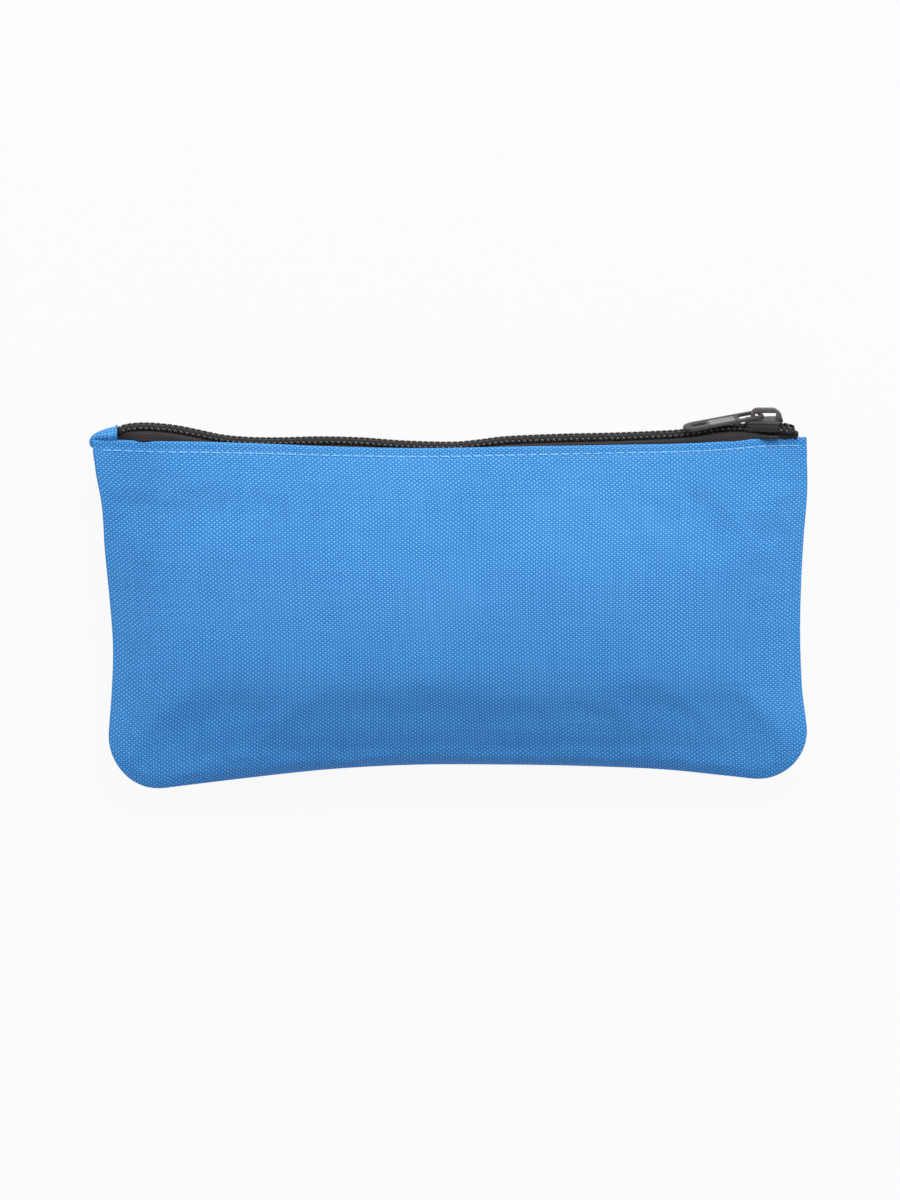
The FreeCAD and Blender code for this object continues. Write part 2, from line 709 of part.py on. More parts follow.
def make_puller():
    """Flat puller, drawn with its crossbar on the origin and its tip along -X."""
    body = doc.addObject("PartDesign::Body", "pull_tab")
    doc.recompute()
    half_plate = "sizes.puller_plate / 2"
    half_width = "(sizes.puller_width / 2)"
    tip_middle = f"-(sizes.puller_length - {half_width})"

    blade = add_sketch(body, "blade_outline", "XY_Plane", f"-{half_plate}")
    polygon(blade, [
        (tip_middle, f"-{half_width}"), ("0", f"-{half_width}"),
        ("0", half_width), (tip_middle, half_width),
    ])
    pad(body, blade, "blade", "sizes.puller_plate")

    tip = add_sketch(body, "tip_outline", "XY_Plane", f"-{half_plate}")
    circle(tip, tip_middle, "0", half_width)
    pad(body, tip, "tip", "sizes.puller_plate")

    slot = add_sketch(body, "slot_outline", "XY_Plane", "sizes.puller_plate")
    half_slot = "(sizes.puller_slot / 2)"
    polygon(slot, [
        ("-sizes.puller_reach", f"-{half_slot}"), ("sizes.puller_plate", f"-{half_slot}"),
        ("sizes.puller_plate", half_slot), ("-sizes.puller_reach", half_slot),
    ])
    pocket(body, slot, "slot", "2 * sizes.puller_plate")

    crossbar = add_sketch(body, "crossbar_outline", "XZ_Plane")
    circle(crossbar, "0", "0", half_plate)
    pad(body, crossbar, "crossbar", "sizes.puller_width", symmetric=True)

    recess = add_sketch(body, "recess_outline", "XY_Plane", half_plate)
    half_recess = "(sizes.recess_width / 2)"
    recess_end = "-(sizes.recess_start + sizes.recess_length)"
    polygon(recess, [
        (recess_end, f"-{half_recess}"), ("-sizes.recess_start", f"-{half_recess}"),
        ("-sizes.recess_start", half_recess), (recess_end, half_recess),
    ])
    pocket(body, recess, "recess", "sizes.recess_depth")

    half_hole = "(sizes.hole_width / 2)"
    hole_run = f"(sizes.hole_length / 2 - {half_hole})"
    hole = add_sketch(body, "hole_outline", "XY_Plane", "sizes.puller_plate")
    polygon(hole, [
        (f"-sizes.hole_middle - {hole_run}", f"-{half_hole}"),
        (f"-sizes.hole_middle + {hole_run}", f"-{half_hole}"),
        (f"-sizes.hole_middle + {hole_run}", half_hole),
        (f"-sizes.hole_middle - {hole_run}", half_hole),
    ])
    pocket(body, hole, "hole", "2 * sizes.puller_plate")
    for name, sign in (("hole_tip_end", "-"), ("hole_bar_end", "+")):
        round_end = add_sketch(body, f"{name}_outline", "XY_Plane", "sizes.puller_plate")
        circle(round_end, f"-sizes.hole_middle {sign} {hole_run}", "0", half_hole)
        pocket(body, round_end, name, "2 * sizes.puller_plate")

    half_thick = size.puller_plate / 2
    round_edges(
        body, "worn_edges", "sizes.edge_round",
        lambda edge: abs(abs(edge.CenterOfMass.z) - half_thick) < 0.01
        and abs(edge.BoundBox.ZLength) < 0.01
        and max(abs(edge.BoundBox.YMin), abs(edge.BoundBox.YMax)) > size.puller_width / 2 - 0.01
        and edge.CenterOfMass.x < -size.puller_plate,
    )

    bar_x = -size.crown_back + size.crown_leg + size.puller_seat + size.puller_plate / 2
    bar_y = channel / 2 + size.slider_plate + size.puller_lift
    turned = Rotation(Vector(1, 0, 0), -90)
    turned = turned * Rotation(Vector(0, 0, 1), size.puller_yaw)
    turned = turned * Rotation(Vector(0, 1, 0), -size.puller_pitch)
    place = Vector(slider_x + bar_x, slider_y + bar_y, size.seam_plane)
    body.Placement = Placement(place, turned)
    return body


# ---------------------------------------------------------------- the document's sub-parts


def add_piece(label, shape):
    """Fabric, tape or thread as a document object."""
    piece = doc.addObject("Part::Feature", label)
    piece.Shape = shape
    piece.Placement = Placement()
    return piece


pieces = [
    add_piece("front_panel", panel(FRONT)),
    add_piece("back_panel", panel(BACK)),
    add_piece("left_end_tab", end_tab()),
    add_piece("end_tab_stitch", end_tab_stitch()),
    add_piece("left_seam_thread", side_seam_thread(LEFT)),
    add_piece("right_seam_thread", side_seam_thread(RIGHT)),
    add_piece("bottom_seam_thread", bottom_seam_thread()),
]
for word, side in (("front", FRONT), ("back", BACK)):
    pieces.append(add_piece(f"{word}_topstitch", topstitch(side)))
    pieces.append(add_piece(f"{word}_tape", tape(side)))
    pieces.append(add_piece(f"{word}_coil", coil(side)))
    pieces.append(add_piece(f"{word}_filler_cord", filler_cord(side)))
    pieces.append(add_piece(f"{word}_coil_stitching", coil_stitching(side)))
pieces.append(make_slider())
pieces.append(make_puller())

# ---------------------------------------------------------------- checks and files

doc.recompute()
for item in doc.Objects:
    if "Invalid" in item.State or "Error" in item.State:
        raise RuntimeError(f"{item.Name} failed: {item.State}")
for piece in pieces:
    if piece.Shape.isNull() or not piece.Shape.isValid():
        raise RuntimeError(f"{piece.Label} has no valid shape")

os.makedirs("parts", exist_ok=True)
for piece in pieces:
    piece.Shape.exportStep(os.path.join("parts", f"{piece.Label}.step"))
    box = piece.Shape.BoundBox
    low = f"{box.XMin:.1f} {box.YMin:.1f} {box.ZMin:.1f}"
    high = f"{box.XMax:.1f} {box.YMax:.1f} {box.ZMax:.1f}"
    print(f"{piece.Label:22s} {piece.Shape.Volume:9.2f} mm3  {low} to {high}")
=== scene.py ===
# %% [markdown]
# # A zip pencil case
# This lesson dresses a soft pencil case of coarse woven cloth with a black coil zip.
# The construction comes in as a fixed frame of plain solids, each riding on a moving body.
# Cloth, seams, stitches, zip and slider are then modelled over it, in the same place and size.
# Sizes are in millimetres and become metres where a mesh is made.

# %% Load the frame
import json
import math

import bmesh
import bpy
import numpy as np
from mathutils import Matrix, Vector


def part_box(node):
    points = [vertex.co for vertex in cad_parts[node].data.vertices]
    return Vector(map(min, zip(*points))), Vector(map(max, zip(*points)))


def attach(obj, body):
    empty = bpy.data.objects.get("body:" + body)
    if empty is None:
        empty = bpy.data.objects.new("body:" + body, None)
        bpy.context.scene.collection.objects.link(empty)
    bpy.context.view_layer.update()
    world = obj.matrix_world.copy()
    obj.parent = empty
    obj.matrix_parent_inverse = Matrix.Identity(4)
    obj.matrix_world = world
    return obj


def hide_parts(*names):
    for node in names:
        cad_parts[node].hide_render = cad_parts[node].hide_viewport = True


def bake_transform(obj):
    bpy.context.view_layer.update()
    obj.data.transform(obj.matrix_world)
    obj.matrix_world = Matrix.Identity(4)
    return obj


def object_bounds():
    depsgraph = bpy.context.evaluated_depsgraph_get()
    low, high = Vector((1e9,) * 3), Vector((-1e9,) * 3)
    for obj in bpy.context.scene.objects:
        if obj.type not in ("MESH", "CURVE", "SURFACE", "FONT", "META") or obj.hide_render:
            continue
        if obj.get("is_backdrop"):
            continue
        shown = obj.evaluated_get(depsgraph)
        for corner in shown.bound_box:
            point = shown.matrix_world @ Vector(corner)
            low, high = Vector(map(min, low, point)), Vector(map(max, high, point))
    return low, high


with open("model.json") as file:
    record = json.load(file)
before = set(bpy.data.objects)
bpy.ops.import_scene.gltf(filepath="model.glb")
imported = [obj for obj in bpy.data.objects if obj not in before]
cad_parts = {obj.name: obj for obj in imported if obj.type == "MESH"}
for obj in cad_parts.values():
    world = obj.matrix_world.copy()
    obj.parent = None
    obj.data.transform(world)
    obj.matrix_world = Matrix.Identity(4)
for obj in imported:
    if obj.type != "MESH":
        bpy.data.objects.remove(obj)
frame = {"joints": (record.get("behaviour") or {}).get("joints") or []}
frame_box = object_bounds()
MM = 0.001
FRONT, BACK = 1, -1
joints = {joint["name"]: joint for joint in frame["joints"]}


def in_mm(corners):
    """A box of the frame as two corners in millimetres."""
    return [Vector(corner) / MM for corner in corners]


case_low, case_high = in_mm(frame_box)
print("the frame measures", [round(x, 1) for x in case_high - case_low], "mm")

# %% [markdown]
# ## Places that the pieces share
# Both panels meet in one seam plane, where the mouth's hinge lies, and the hem folds end at the mouth.
# Reading these places from the frame keeps every new piece on the solid that it stands for.

# %% Shared places
seam_z = joints["mouth_open"]["pos_m"][2] / MM
half_length = case_high.x
slider_low, slider_high = in_mm(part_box("slider_body"))
slider_x = (slider_low.x + slider_high.x) / 2
puller_pivot = Vector(joints["puller_flip"]["pos_m"]) / MM
puller_axis = Vector(joints["puller_flip"]["axis"])
WALL = 0.6
print("seam plane", round(seam_z, 2), "slider at", round(slider_x, 2))

# %% [markdown]
# ## Small helpers for modelling
# Every operator acts on what is selected, so each step starts with one object alone in edit mode
# and nothing picked. Vertices, edges and faces are then picked by where they lie. Soft shapes are
# laid out with arrays of vertices, and curves through a few points give their outlines.

# %% Picking and applying


def alone(obj):
    """Make obj the only selected object, and the active one."""
    if bpy.context.object and bpy.context.object.mode != "OBJECT":
        bpy.ops.object.mode_set(mode="OBJECT")
    bpy.ops.object.select_all(action="DESELECT")
    obj.select_set(True)
    bpy.context.view_layer.objects.active = obj
    return obj


def edit(obj, mode="VERT", picked="DESELECT"):
    """Open obj in edit mode with nothing picked, or with all of it where picked is SELECT."""
    alone(obj)
    bpy.ops.object.mode_set(mode="EDIT")
    bpy.ops.mesh.select_mode(type=mode)
    bpy.ops.mesh.select_all(action=picked)


def done():
    """Leave edit mode and return the object."""
    bpy.ops.object.mode_set(mode="OBJECT")
    return bpy.context.object


def pick(kind, test):
    """Pick the verts, edges or faces of the open mesh for which test(item) holds."""
    mesh = bmesh.from_edit_mesh(bpy.context.object.data)
    for item in getattr(mesh, kind):
        if test(item):
            item.select_set(True)
    bmesh.update_edit_mesh(bpy.context.object.data)


def middle(edge):
    """Middle of an edge, in millimetres."""
    return (edge.verts[0].co + edge.verts[1].co) / 2 / MM


def upright(edge):
    """Whether an edge stands along Z."""
    return abs((edge.verts[0].co - edge.verts[1].co).normalized().z) > 0.9


def named(obj, name):
    """Give an object and its mesh one name."""
    obj.name = obj.data.name = name
    return obj


def primitive(name, add, **settings):
    """Add a primitive with its turn, size and place in its mesh."""
    bpy.ops.object.select_all(action="DESELECT")
    add(**settings)
    bpy.ops.object.transform_apply(location=True, rotation=True, scale=True)
    return named(bpy.context.object, name)


def modify(obj, kind, **settings):
    """Add a modifier, set it and apply it."""
    alone(obj)
    modifier = obj.modifiers.new(kind.lower(), kind)
    for key, value in settings.items():
        setattr(modifier, key, value)
    bpy.ops.object.modifier_apply(modifier=modifier.name)
    return obj


def round_corners(obj, radius, test, segments):
    """Round the upright edges whose middle passes a test."""
    edit(obj, "EDGE")
    pick("edges", lambda edge: upright(edge) and test(middle(edge)))
    bpy.ops.mesh.bevel(offset=radius * MM, segments=segments)
    return done()


print("picking helpers ready")

# %% Vertices as arrays


def places_of(obj):
    """The vertices of a mesh as an array in millimetres."""
    places = np.zeros(len(obj.data.vertices) * 3)
    obj.data.vertices.foreach_get("co", places)
    return places.reshape(-1, 3) / MM


def set_places(obj, places):
    """Put the vertices of a mesh at places in millimetres."""
    obj.data.vertices.foreach_set("co", np.ascontiguousarray(places, dtype=np.float32).ravel() * MM)
    obj.data.update()


def run_along(*coordinates):
    """Length of a line up to each of its points, from arrays of the points' coordinates."""
    steps = np.hypot(*[np.diff(values) for values in coordinates])
    return np.concatenate([np.zeros(steps.shape[:-1] + (1,)), np.cumsum(steps, axis=-1)], axis=-1)


def unit_rows(rows):
    """Each row of an array at length 1."""
    return rows / np.maximum(np.linalg.norm(rows, axis=1), 1e-9)[:, None]


def mixed_by(share, first, second):
    """Between two values: the first at a share of 0, the second at 1."""
    return first + (second - first) * share


def smooth(t):
    """Rise from 0 to 1 with level ends, for a number or an array."""
    t = np.clip(t, 0, 1)
    return t * t * (3 - 2 * t)


def curve_through(points):
    """Function whose smooth graph passes through (place, height) points."""
    x, y = np.array(points, float).T
    slope = np.gradient(y, x)

    def height(at):
        at = np.clip(at, x[0], x[-1])
        i = np.clip(np.searchsorted(x, at) - 1, 0, len(x) - 2)
        step = x[i + 1] - x[i]
        t = (at - x[i]) / step
        start = y[i] * (1 + 2 * t) * (1 - t) ** 2 + step * slope[i] * t * (1 - t) ** 2
        end = y[i + 1] * t * t * (3 - 2 * t) - step * slope[i + 1] * t * t * (1 - t)
        return start + end

    return height


print("a smooth step at a quarter:", smooth(0.25))

# %% Shaping and finishing a piece
DOUBLES = 0.001


def cut_across(obj, *stations):
    """Cut new edge rings across X."""
    for x in stations:
        edit(obj, picked="SELECT")
        bpy.ops.mesh.bisect(plane_co=(x * MM, 0, 0), plane_no=(1, 0, 0), threshold=1e-7)
    return done()


def merge_and_turn_out():
    """In the open mesh, merge doubles and make every face point out of the closed shape."""
    bpy.ops.mesh.select_all(action="SELECT")
    bpy.ops.mesh.remove_doubles(threshold=DOUBLES * MM)
    bpy.ops.mesh.normals_make_consistent(inside=False)


def face_outwards(obj):
    """Merge doubles and make every face point out of the closed shape."""
    edit(obj)
    merge_and_turn_out()
    return done()


def smooth_shading(obj, degrees=40):
    """Smooth shading, with creases where faces meet at more than an angle."""
    alone(obj)
    bpy.ops.object.shade_smooth_by_angle(angle=math.radians(degrees))
    return obj


def finished(obj, finish, degrees=40):
    """A closed shape with its faces outwards, its material and its shading."""
    face_outwards(obj)
    obj.data.materials.append(finish)
    return smooth_shading(obj, degrees)


def repeated(obj, pitch, count, start, merged=False):
    """The piece count times along X from start, a pitch apart, its touching ends merged if asked."""
    modify(
        obj, "ARRAY", count=count, use_relative_offset=False, use_constant_offset=True,
        constant_offset_displace=(pitch * MM, 0, 0), use_merge_vertices=merged,
        merge_threshold=10 * DOUBLES * MM,
    )
    set_places(obj, places_of(obj) + (start, 0, 0))
    return obj


print("doubles closer than", DOUBLES, "mm are merged")

# %% [markdown]
# ## Camera
# A flat case is best shown from above. The camera leans towards the zip, so that the row of coils
# shows over the hem, and a long lens keeps the edges nearly parallel.

# %% Camera
CAMERA_LEAN = 13
CAMERA_DISTANCE = 2600
VIEW_TARGET = Vector((0, 2.56, seam_z))
VIEW_HEIGHT = 364.8
FARTHEST_SEEN = 10
lean = math.radians(CAMERA_LEAN)
towards_camera = Vector((0, math.sin(lean), math.cos(lean)))
camera_right = Vector((1, 0, 0))
camera_up = towards_camera.cross(camera_right)
camera_data = bpy.data.cameras.new("camera")
camera_data.lens = camera_data.sensor_width * CAMERA_DISTANCE / VIEW_HEIGHT
camera_data.clip_end = FARTHEST_SEEN
camera = bpy.data.objects.new("camera", camera_data)
bpy.context.scene.collection.objects.link(camera)
camera.location = (VIEW_TARGET + towards_camera * CAMERA_DISTANCE) * MM
camera.rotation_mode = "QUATERNION"
camera_turn = Matrix((camera_right, camera_up, towards_camera)).transposed()
camera.rotation_quaternion = camera_turn.to_quaternion()
bpy.context.scene.camera = camera
bpy.context.scene.view_settings.view_transform = "Standard"
print("lens", round(camera_data.lens, 1), "mm")

# %% [markdown]
# ## Shader maths as Python
# A pattern such as a weave is a formula. One class wraps a socket, so that a formula is written as an
# expression and adds its Math nodes by itself, and one method makes every other node.

# %% Wires in expressions


class Wire:
    """A socket that takes part in Python expressions."""

    def __init__(self, paint, socket):
        self.paint = paint
        self.socket = socket

    def __add__(self, other):
        return self.paint.maths("ADD", self, other)

    def __sub__(self, other):
        return self.paint.maths("SUBTRACT", self, other)

    def __mul__(self, other):
        return self.paint.maths("MULTIPLY", self, other)

    def __truediv__(self, other):
        return self.paint.maths("DIVIDE", self, other)

    def __pow__(self, other):
        return self.paint.maths("POWER", self, other)

    def __rsub__(self, other):
        return self.paint.maths("SUBTRACT", other, self)

    def __abs__(self):
        return self.paint.maths("ABSOLUTE", self)

    __radd__ = __add__
    __rmul__ = __mul__


print("wires work with + - * / ** and abs")

# %% Paint and its nodes


class Paint:
    """The nodes of one new material, or of the world."""

    def __init__(self, name, world=None):
        self.owner = world or bpy.data.materials.new(name)
        self.owner.use_nodes = True
        self.tree = self.owner.node_tree
        self.tree.nodes.clear()

    def node(self, kind, settings=None, sockets=None, out=0):
        """Make a node, set it up first, then give its sockets their values or wires."""
        item = self.tree.nodes.new(kind)
        for key, value in (settings or {}).items():
            setattr(item, key, value)
        for key, value in (sockets or {}).items():
            if isinstance(value, Wire):
                self.tree.links.new(value.socket, item.inputs[key])
            else:
                item.inputs[key].default_value = value
        return Wire(self, item.outputs[out]) if item.outputs else None

    def maths(self, operation, *values):
        """A Math node on one or two values."""
        return self.node("ShaderNodeMath", {"operation": operation}, dict(enumerate(values)))

    def wave(self, place, length):
        """Sine of a place, with a full wave every length."""
        return self.maths("SINE", place * (2 * math.pi / length))

    def coordinates(self, uv_map=None):
        """X, Y and Z of the object, or of one of its own UV maps, in millimetres."""
        if uv_map:
            place = self.node("ShaderNodeUVMap", {"uv_map": uv_map})
        else:
            place = self.node("ShaderNodeTexCoord", out="Object")
        apart = {"Vector": place}
        return [self.node("ShaderNodeSeparateXYZ", sockets=apart, out=i) / MM for i in range(3)]

    def noise(self, x, y, z, detail=2.0):
        """Smooth noise from 0 to 1 at a place."""
        place = self.node("ShaderNodeCombineXYZ", sockets={0: x, 1: y, 2: z})
        return self.node("ShaderNodeTexNoise", sockets={"Vector": place, "Scale": 1.0, "Detail": detail})

    def tint(self, factor, first, second):
        """Colour between two colours."""
        settings = {"data_type": "RGBA", "clamp_factor": True}
        return self.node("ShaderNodeMix", settings, {0: factor, 6: first, 7: second}, out=2)

    def bump(self, height, depth):
        """Normal of a surface with a height from 0 to 1 and a depth in millimetres."""
        sockets = {"Height": height, "Distance": depth * MM, "Strength": 1.0}
        return self.node("ShaderNodeBump", sockets=sockets)

    def shown_white(self):
        """1 where the camera or a reflection looks straight at the surface, otherwise 0."""
        rays = [self.node("ShaderNodeLightPath", out=f"Is {kind} Ray") for kind in ("Camera", "Glossy")]
        return self.maths("MAXIMUM", *rays)

    def surface(self, shader, kind="Material"):
        """Send a shader to the surface of the material, or of the world."""
        self.node("ShaderNodeOutput" + kind, sockets={"Surface": shader})
        return self.owner

    def finish(self, **sockets):
        """End the material in a Principled shader. Names are the shader's own, with _ for a space."""
        own_names = {key.replace("_", " "): value for key, value in sockets.items()}
        return self.surface(self.node("ShaderNodeBsdfPrincipled", sockets=own_names))


print("shader helpers ready")

# %% [markdown]
# ## Floor and light
# The case lies on a pale studio floor. One large soft lamp stands on the zip's side and low, so that
# the filled panel turns darker towards its bottom seam. What the camera and reflections see of the
# floor and of the world is made white in their own nodes, which leaves the light on the case alone.

# %% Floor
FLOOR_SIZE = 6.0
FLOOR_COLOUR = (0.45, 0.53, 0.65, 1)
WHITE = (1, 1, 1, 1)
WHITE_SHARE = 0.93
floor = primitive(
    "floor", bpy.ops.mesh.primitive_plane_add, size=FLOOR_SIZE, location=(0, 0, case_low.z * MM)
)
paint = Paint("pale_floor")
lit_floor = paint.node("ShaderNodeBsdfDiffuse", sockets={"Color": FLOOR_COLOUR})
white_floor = paint.node("ShaderNodeEmission", sockets={"Color": WHITE, "Strength": 1.0})
white_share = paint.shown_white() * WHITE_SHARE
mixed = paint.node("ShaderNodeMixShader", sockets={0: white_share, 1: lit_floor, 2: white_floor})
floor.data.materials.append(paint.surface(mixed))
floor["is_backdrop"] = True
print("floor at", round(case_low.z, 3), "mm")

# %% Lamps and world
WORLD_LIGHT = 0.35
LAMP_SIZE = 0.9


def soft_lamp(name, place, power, colour):
    """Square area lamp that looks at the case. Its place is in metres."""
    data = bpy.data.lights.new(name, "AREA")
    data.color = colour
    data.shape = "SQUARE"
    data.size = LAMP_SIZE
    data.energy = power
    lamp = bpy.data.objects.new(name, data)
    bpy.context.scene.collection.objects.link(lamp)
    lamp.location = place
    lamp.rotation_mode = "QUATERNION"
    lamp.rotation_quaternion = lamp.location.to_track_quat("Z", "Y")


soft_lamp("window_lamp", (0.2, 1.2, 0.85), 19.5, (1, 0.94, 0.8))
soft_lamp("left_fill", (-1.1, 0.7, 0.6), 10, (1, 0.97, 0.9))
soft_lamp("right_fill", (1.1, 0.7, 0.6), 11, (1, 0.97, 0.9))
soft_lamp("low_fill", (0, -1.1, 0.6), 3.8, (0.5, 0.8, 1))

bpy.context.scene.world = bpy.data.worlds.new("studio")
paint = Paint("studio", bpy.context.scene.world)
level = paint.shown_white() * (1 - WORLD_LIGHT) + WORLD_LIGHT
paint.surface(paint.node("ShaderNodeBackground", sockets={"Strength": level}), "World")
print("world light", WORLD_LIGHT)

# %% [markdown]
# ## The cloth
# The case is cut from coated polyester in a coarse plain weave: each visible point is one thread
# passing over its neighbour. The pattern is the product of two sines, one across each thread
# direction. Its sign tells lengthwise threads from crosswise ones, so every second point gets a
# painted sheen and each point is longer along its own thread. The crown of each point is painted
# lighter as a highlight, with painted shade between the points. Thick places in the threads and soft
# clouds of tone keep it from looking printed.
# It follows a UV map that holds the flat cut in metres, so the threads run with the panel's edges.

# %% Cloth material
LENGTHWISE_PITCH = 0.845
CROSSWISE_PITCH = 0.645
LONG_WAY, NARROW_WAY = 0.5, 0.95
CUT_MAP = "cut"


def woven_cloth(name, low, middle_tone, high, weave_depth):
    """Plain weave between three tones of one colour."""
    paint = Paint(name)
    x, y, _ = paint.coordinates(CUT_MAP)
    sway = (paint.noise(x * 0.05, y * 0.05, 0.0) - 0.5) * 1.2
    across = paint.wave(x + sway, 2 * LENGTHWISE_PITCH)
    along = paint.wave(y + sway, 2 * CROSSWISE_PITCH)
    over = across * along
    long_point = abs(across) ** NARROW_WAY * abs(along) ** LONG_WAY
    cross_point = abs(across) ** LONG_WAY * abs(along) ** NARROW_WAY
    lengthwise = paint.maths("GREATER_THAN", over, 0.0)
    crown = cross_point + (long_point - cross_point) * lengthwise
    slub = paint.noise(x * 1.1, y * 0.04, 0.0) + paint.noise(x * 0.04, y * 1.2, 7.0) - 1.0
    cloud = paint.noise(x * 0.03, y * 0.03, 3.0) - 0.5
    # Painted highlight on each crown and painted sheen on lengthwise points, with painted shade between
    # them; slub and cloud are the cloth's own tone.
    tone = crown * 0.6 + over * 0.42 + slub * 0.2 + cloud * 0.22 + 0.12
    dark_half = paint.tint(tone * 2.0, low, middle_tone)
    colour = paint.tint(tone * 2.0 - 1.0, dark_half, high)
    normal = paint.bump(crown * 0.75 + over * 0.25, weave_depth)
    return paint.finish(
        Base_Color=colour, Roughness=0.62 - crown * 0.12, Normal=normal,
        Specular_IOR_Level=0.22, Sheen_Weight=0.02, Sheen_Roughness=0.4,
    )


def coated_inside(name, colour):
    """Smooth film on the inside, with the weave showing faintly through it."""
    paint = Paint(name)
    x, y, _ = paint.coordinates(CUT_MAP)
    across = paint.wave(x, 2 * LENGTHWISE_PITCH)
    along = paint.wave(y, 2 * CROSSWISE_PITCH)
    cloud = paint.noise(x * 0.08, y * 0.08, 1.0)
    dimmer = tuple(0.75 * part for part in colour[:3]) + (1,)
    normal = paint.bump(abs(across * along), 0.04)
    return paint.finish(
        Base_Color=paint.tint(cloud, dimmer, colour), Roughness=0.42, Normal=normal,
        Specular_IOR_Level=0.5,
    )


case_fabric = woven_cloth(
    "case_fabric", (0.015, 0.14, 0.47, 1), (0.043, 0.265, 0.69, 1), (0.16, 0.44, 0.83, 1), 0.18,
)
case_inside = coated_inside("case_inside", (0.05, 0.19, 0.45, 1))
print("cloth threads every", LENGTHWISE_PITCH, "and", CROSSWISE_PITCH, "mm")

# %% [markdown]
# ## Shape of a filled panel
# A panel is cut flat, with rounded bottom corners, and sewn to its twin along three sides. The filling
# draws the seams in and the bottom edge up, and the cloth rises steeply from the seams to a dome.
# The outline is a few smooth curves, and a grid on the cut is carried over to them, so its threads
# bend with the edges. Each grid corner is eased round its arc, which keeps the cells even. Both
# panels are pulled in a little along their topstitch, and the back is pressed flat on the table.

# %% Outline and dome
CUT_HEIGHT = 106.5
LEFT_ROUND, RIGHT_ROUND = 18, 18
SEAM_EDGE = 1.15
MOUTH_END, MOUTH_HALF, LEFT_RAMP, RIGHT_RAMP = 2.0, 6.4, 24, 32
SIDE_FULLNESS, SIDE_STEEPNESS, EDGE_FULLNESS = 3.0, 0.8, 0.6
EDGE_SLOPE_LIMIT = 0.012
BACK_SINK = 5
TABLE_EASE = 1.2
HEM_ROUND = 0.68
BACK_LOWER = 1.1
STITCH_BELOW_FOLD = 2.3
GROOVE_DEPTH, GROOVE_WIDTH = 0.28, 0.8

left_edge = curve_through([
    (-56, -104.3), (-40, -104.2), (-27, -103.2), (-12, -102.6), (3, -103.5),
    (18, -104.8), (33, -105.7), (43, -107.4), (52, -108.3),
])
right_edge = curve_through([
    (-54, 110.0), (-38, 109.0), (-32, 108.2), (-26, 107.4), (-18, 106.9), (-10, 106.6), (8, 106.7),
    (22, 107.3), (37, 108.3), (52, 107.9),
])
bottom_edge = curve_through([
    (-104, -57.6), (-95, -57.2), (-85, -55.9), (-61, -52.9), (-37, -50.3), (-12, -48.9),
    (15, -48.8), (45, -49.4), (66, -50.4), (85, -52.4), (97, -53.7), (109, -54.4),
])
hem_fold = curve_through([
    (-108.5, 52.7), (-85, 53.1), (-62, 52.6), (-35, 51.5), (-9, 51.0),
    (20, 51.5), (50, 52.0), (70, 52.4), (85, 53.1), (95, 53.6), (108.5, 53.5),
])


def fold_of(side, x):
    """Height in plan of a panel's hem fold. The back one lies a little lower."""
    lower = BACK_LOWER if side == BACK else 0
    return hem_fold(x) - lower


def cut_place(s, t):
    """Place on the flat cut, its bottom corners rounded, from shares of its length and height."""
    x, y = s * half_length, t * CUT_HEIGHT
    for end, radius in ((-1, LEFT_ROUND), (1, RIGHT_ROUND)):
        u = np.clip((end * x - half_length) / radius + 1, 0, 1)
        v = np.clip(1 - y / radius, 0, 1)
        in_corner = (u > 0) & (v > 0)
        x = np.where(in_corner, end * (half_length - radius * (1 - u * np.sqrt(1 - v * v / 2))), x)
        y = np.where(in_corner, radius * (1 - v * np.sqrt(1 - u * u / 2)), y)
    return x, y


def sewn_place(x_cut, y_cut):
    """Where a place of the cut comes to lie in plan when the case is sewn and filled."""
    across = (x_cut + half_length) / (2 * half_length)
    share_up = y_cut / CUT_HEIGHT
    low = bottom_edge(left_edge(-50) + (right_edge(-50) - left_edge(-50)) * across)
    y = low + (hem_fold(x_cut) - HEM_ROUND - low) * share_up
    return left_edge(y) + (right_edge(y) - left_edge(y)) * across, y


def mouth_half(s):
    """Distance from the seam plane to a hem."""
    ramp = np.where(np.asarray(s) < 0, LEFT_RAMP, RIGHT_RAMP)
    return MOUTH_END + (MOUTH_HALF - MOUTH_END) * smooth(half_length * (1 - abs(s)) / ramp)


def panel_depth(side, s, t):
    """Outer face of a panel, measured from the seam plane."""
    fullest = EDGE_FULLNESS / (1 + EDGE_FULLNESS)
    deepest = case_high.z - seam_z if side == FRONT else seam_z + BACK_SINK
    bulge = deepest - SEAM_EDGE - (MOUTH_HALF - SEAM_EDGE) * fullest**2
    across = (1 - np.minimum(abs(s), 1) ** SIDE_FULLNESS) ** SIDE_STEEPNESS
    rise = (t + EDGE_SLOPE_LIMIT) ** EDGE_FULLNESS - EDGE_SLOPE_LIMIT**EDGE_FULLNESS
    puff = across * rise * (1 - t) / (fullest**EDGE_FULLNESS * (1 - fullest))
    return SEAM_EDGE + (mouth_half(s) - SEAM_EDGE) * t**2 + bulge * puff


def panel_place(side, s, t):
    """Place of the outer face: three arrays, from shares of the cut's length and height."""
    x, y = sewn_place(*cut_place(s, t))
    y = y + (fold_of(side, x) - hem_fold(x)) * t * t
    depth = panel_depth(side, s, t)
    below_fold = fold_of(side, x) - y
    depth = depth - GROOVE_DEPTH * np.exp(-(((below_fold - STITCH_BELOW_FOLD) / GROOVE_WIDTH) ** 2))
    z = seam_z + side * depth
    if side == BACK:
        z = (z + np.sqrt(z * z + TABLE_EASE**2)) / 2
    return x, y, z


print("front panel rises to", round(float(panel_depth(FRONT, 0.0, 0.375)), 1), "mm over the seam")

# %% [markdown]
# ## Panels with turned edges
# Along the three seams the cloth rolls over and its allowance lies inside. At the mouth it is folded
# down inside as a hem. A grid is the natural start for cloth: its inner cells are the panel, and its
# outer rings are laid along the section of the roll and of the hem. The back's allowance ends standing
# up inside the front panel, so the last two depths of its roll are shares of the height free there.

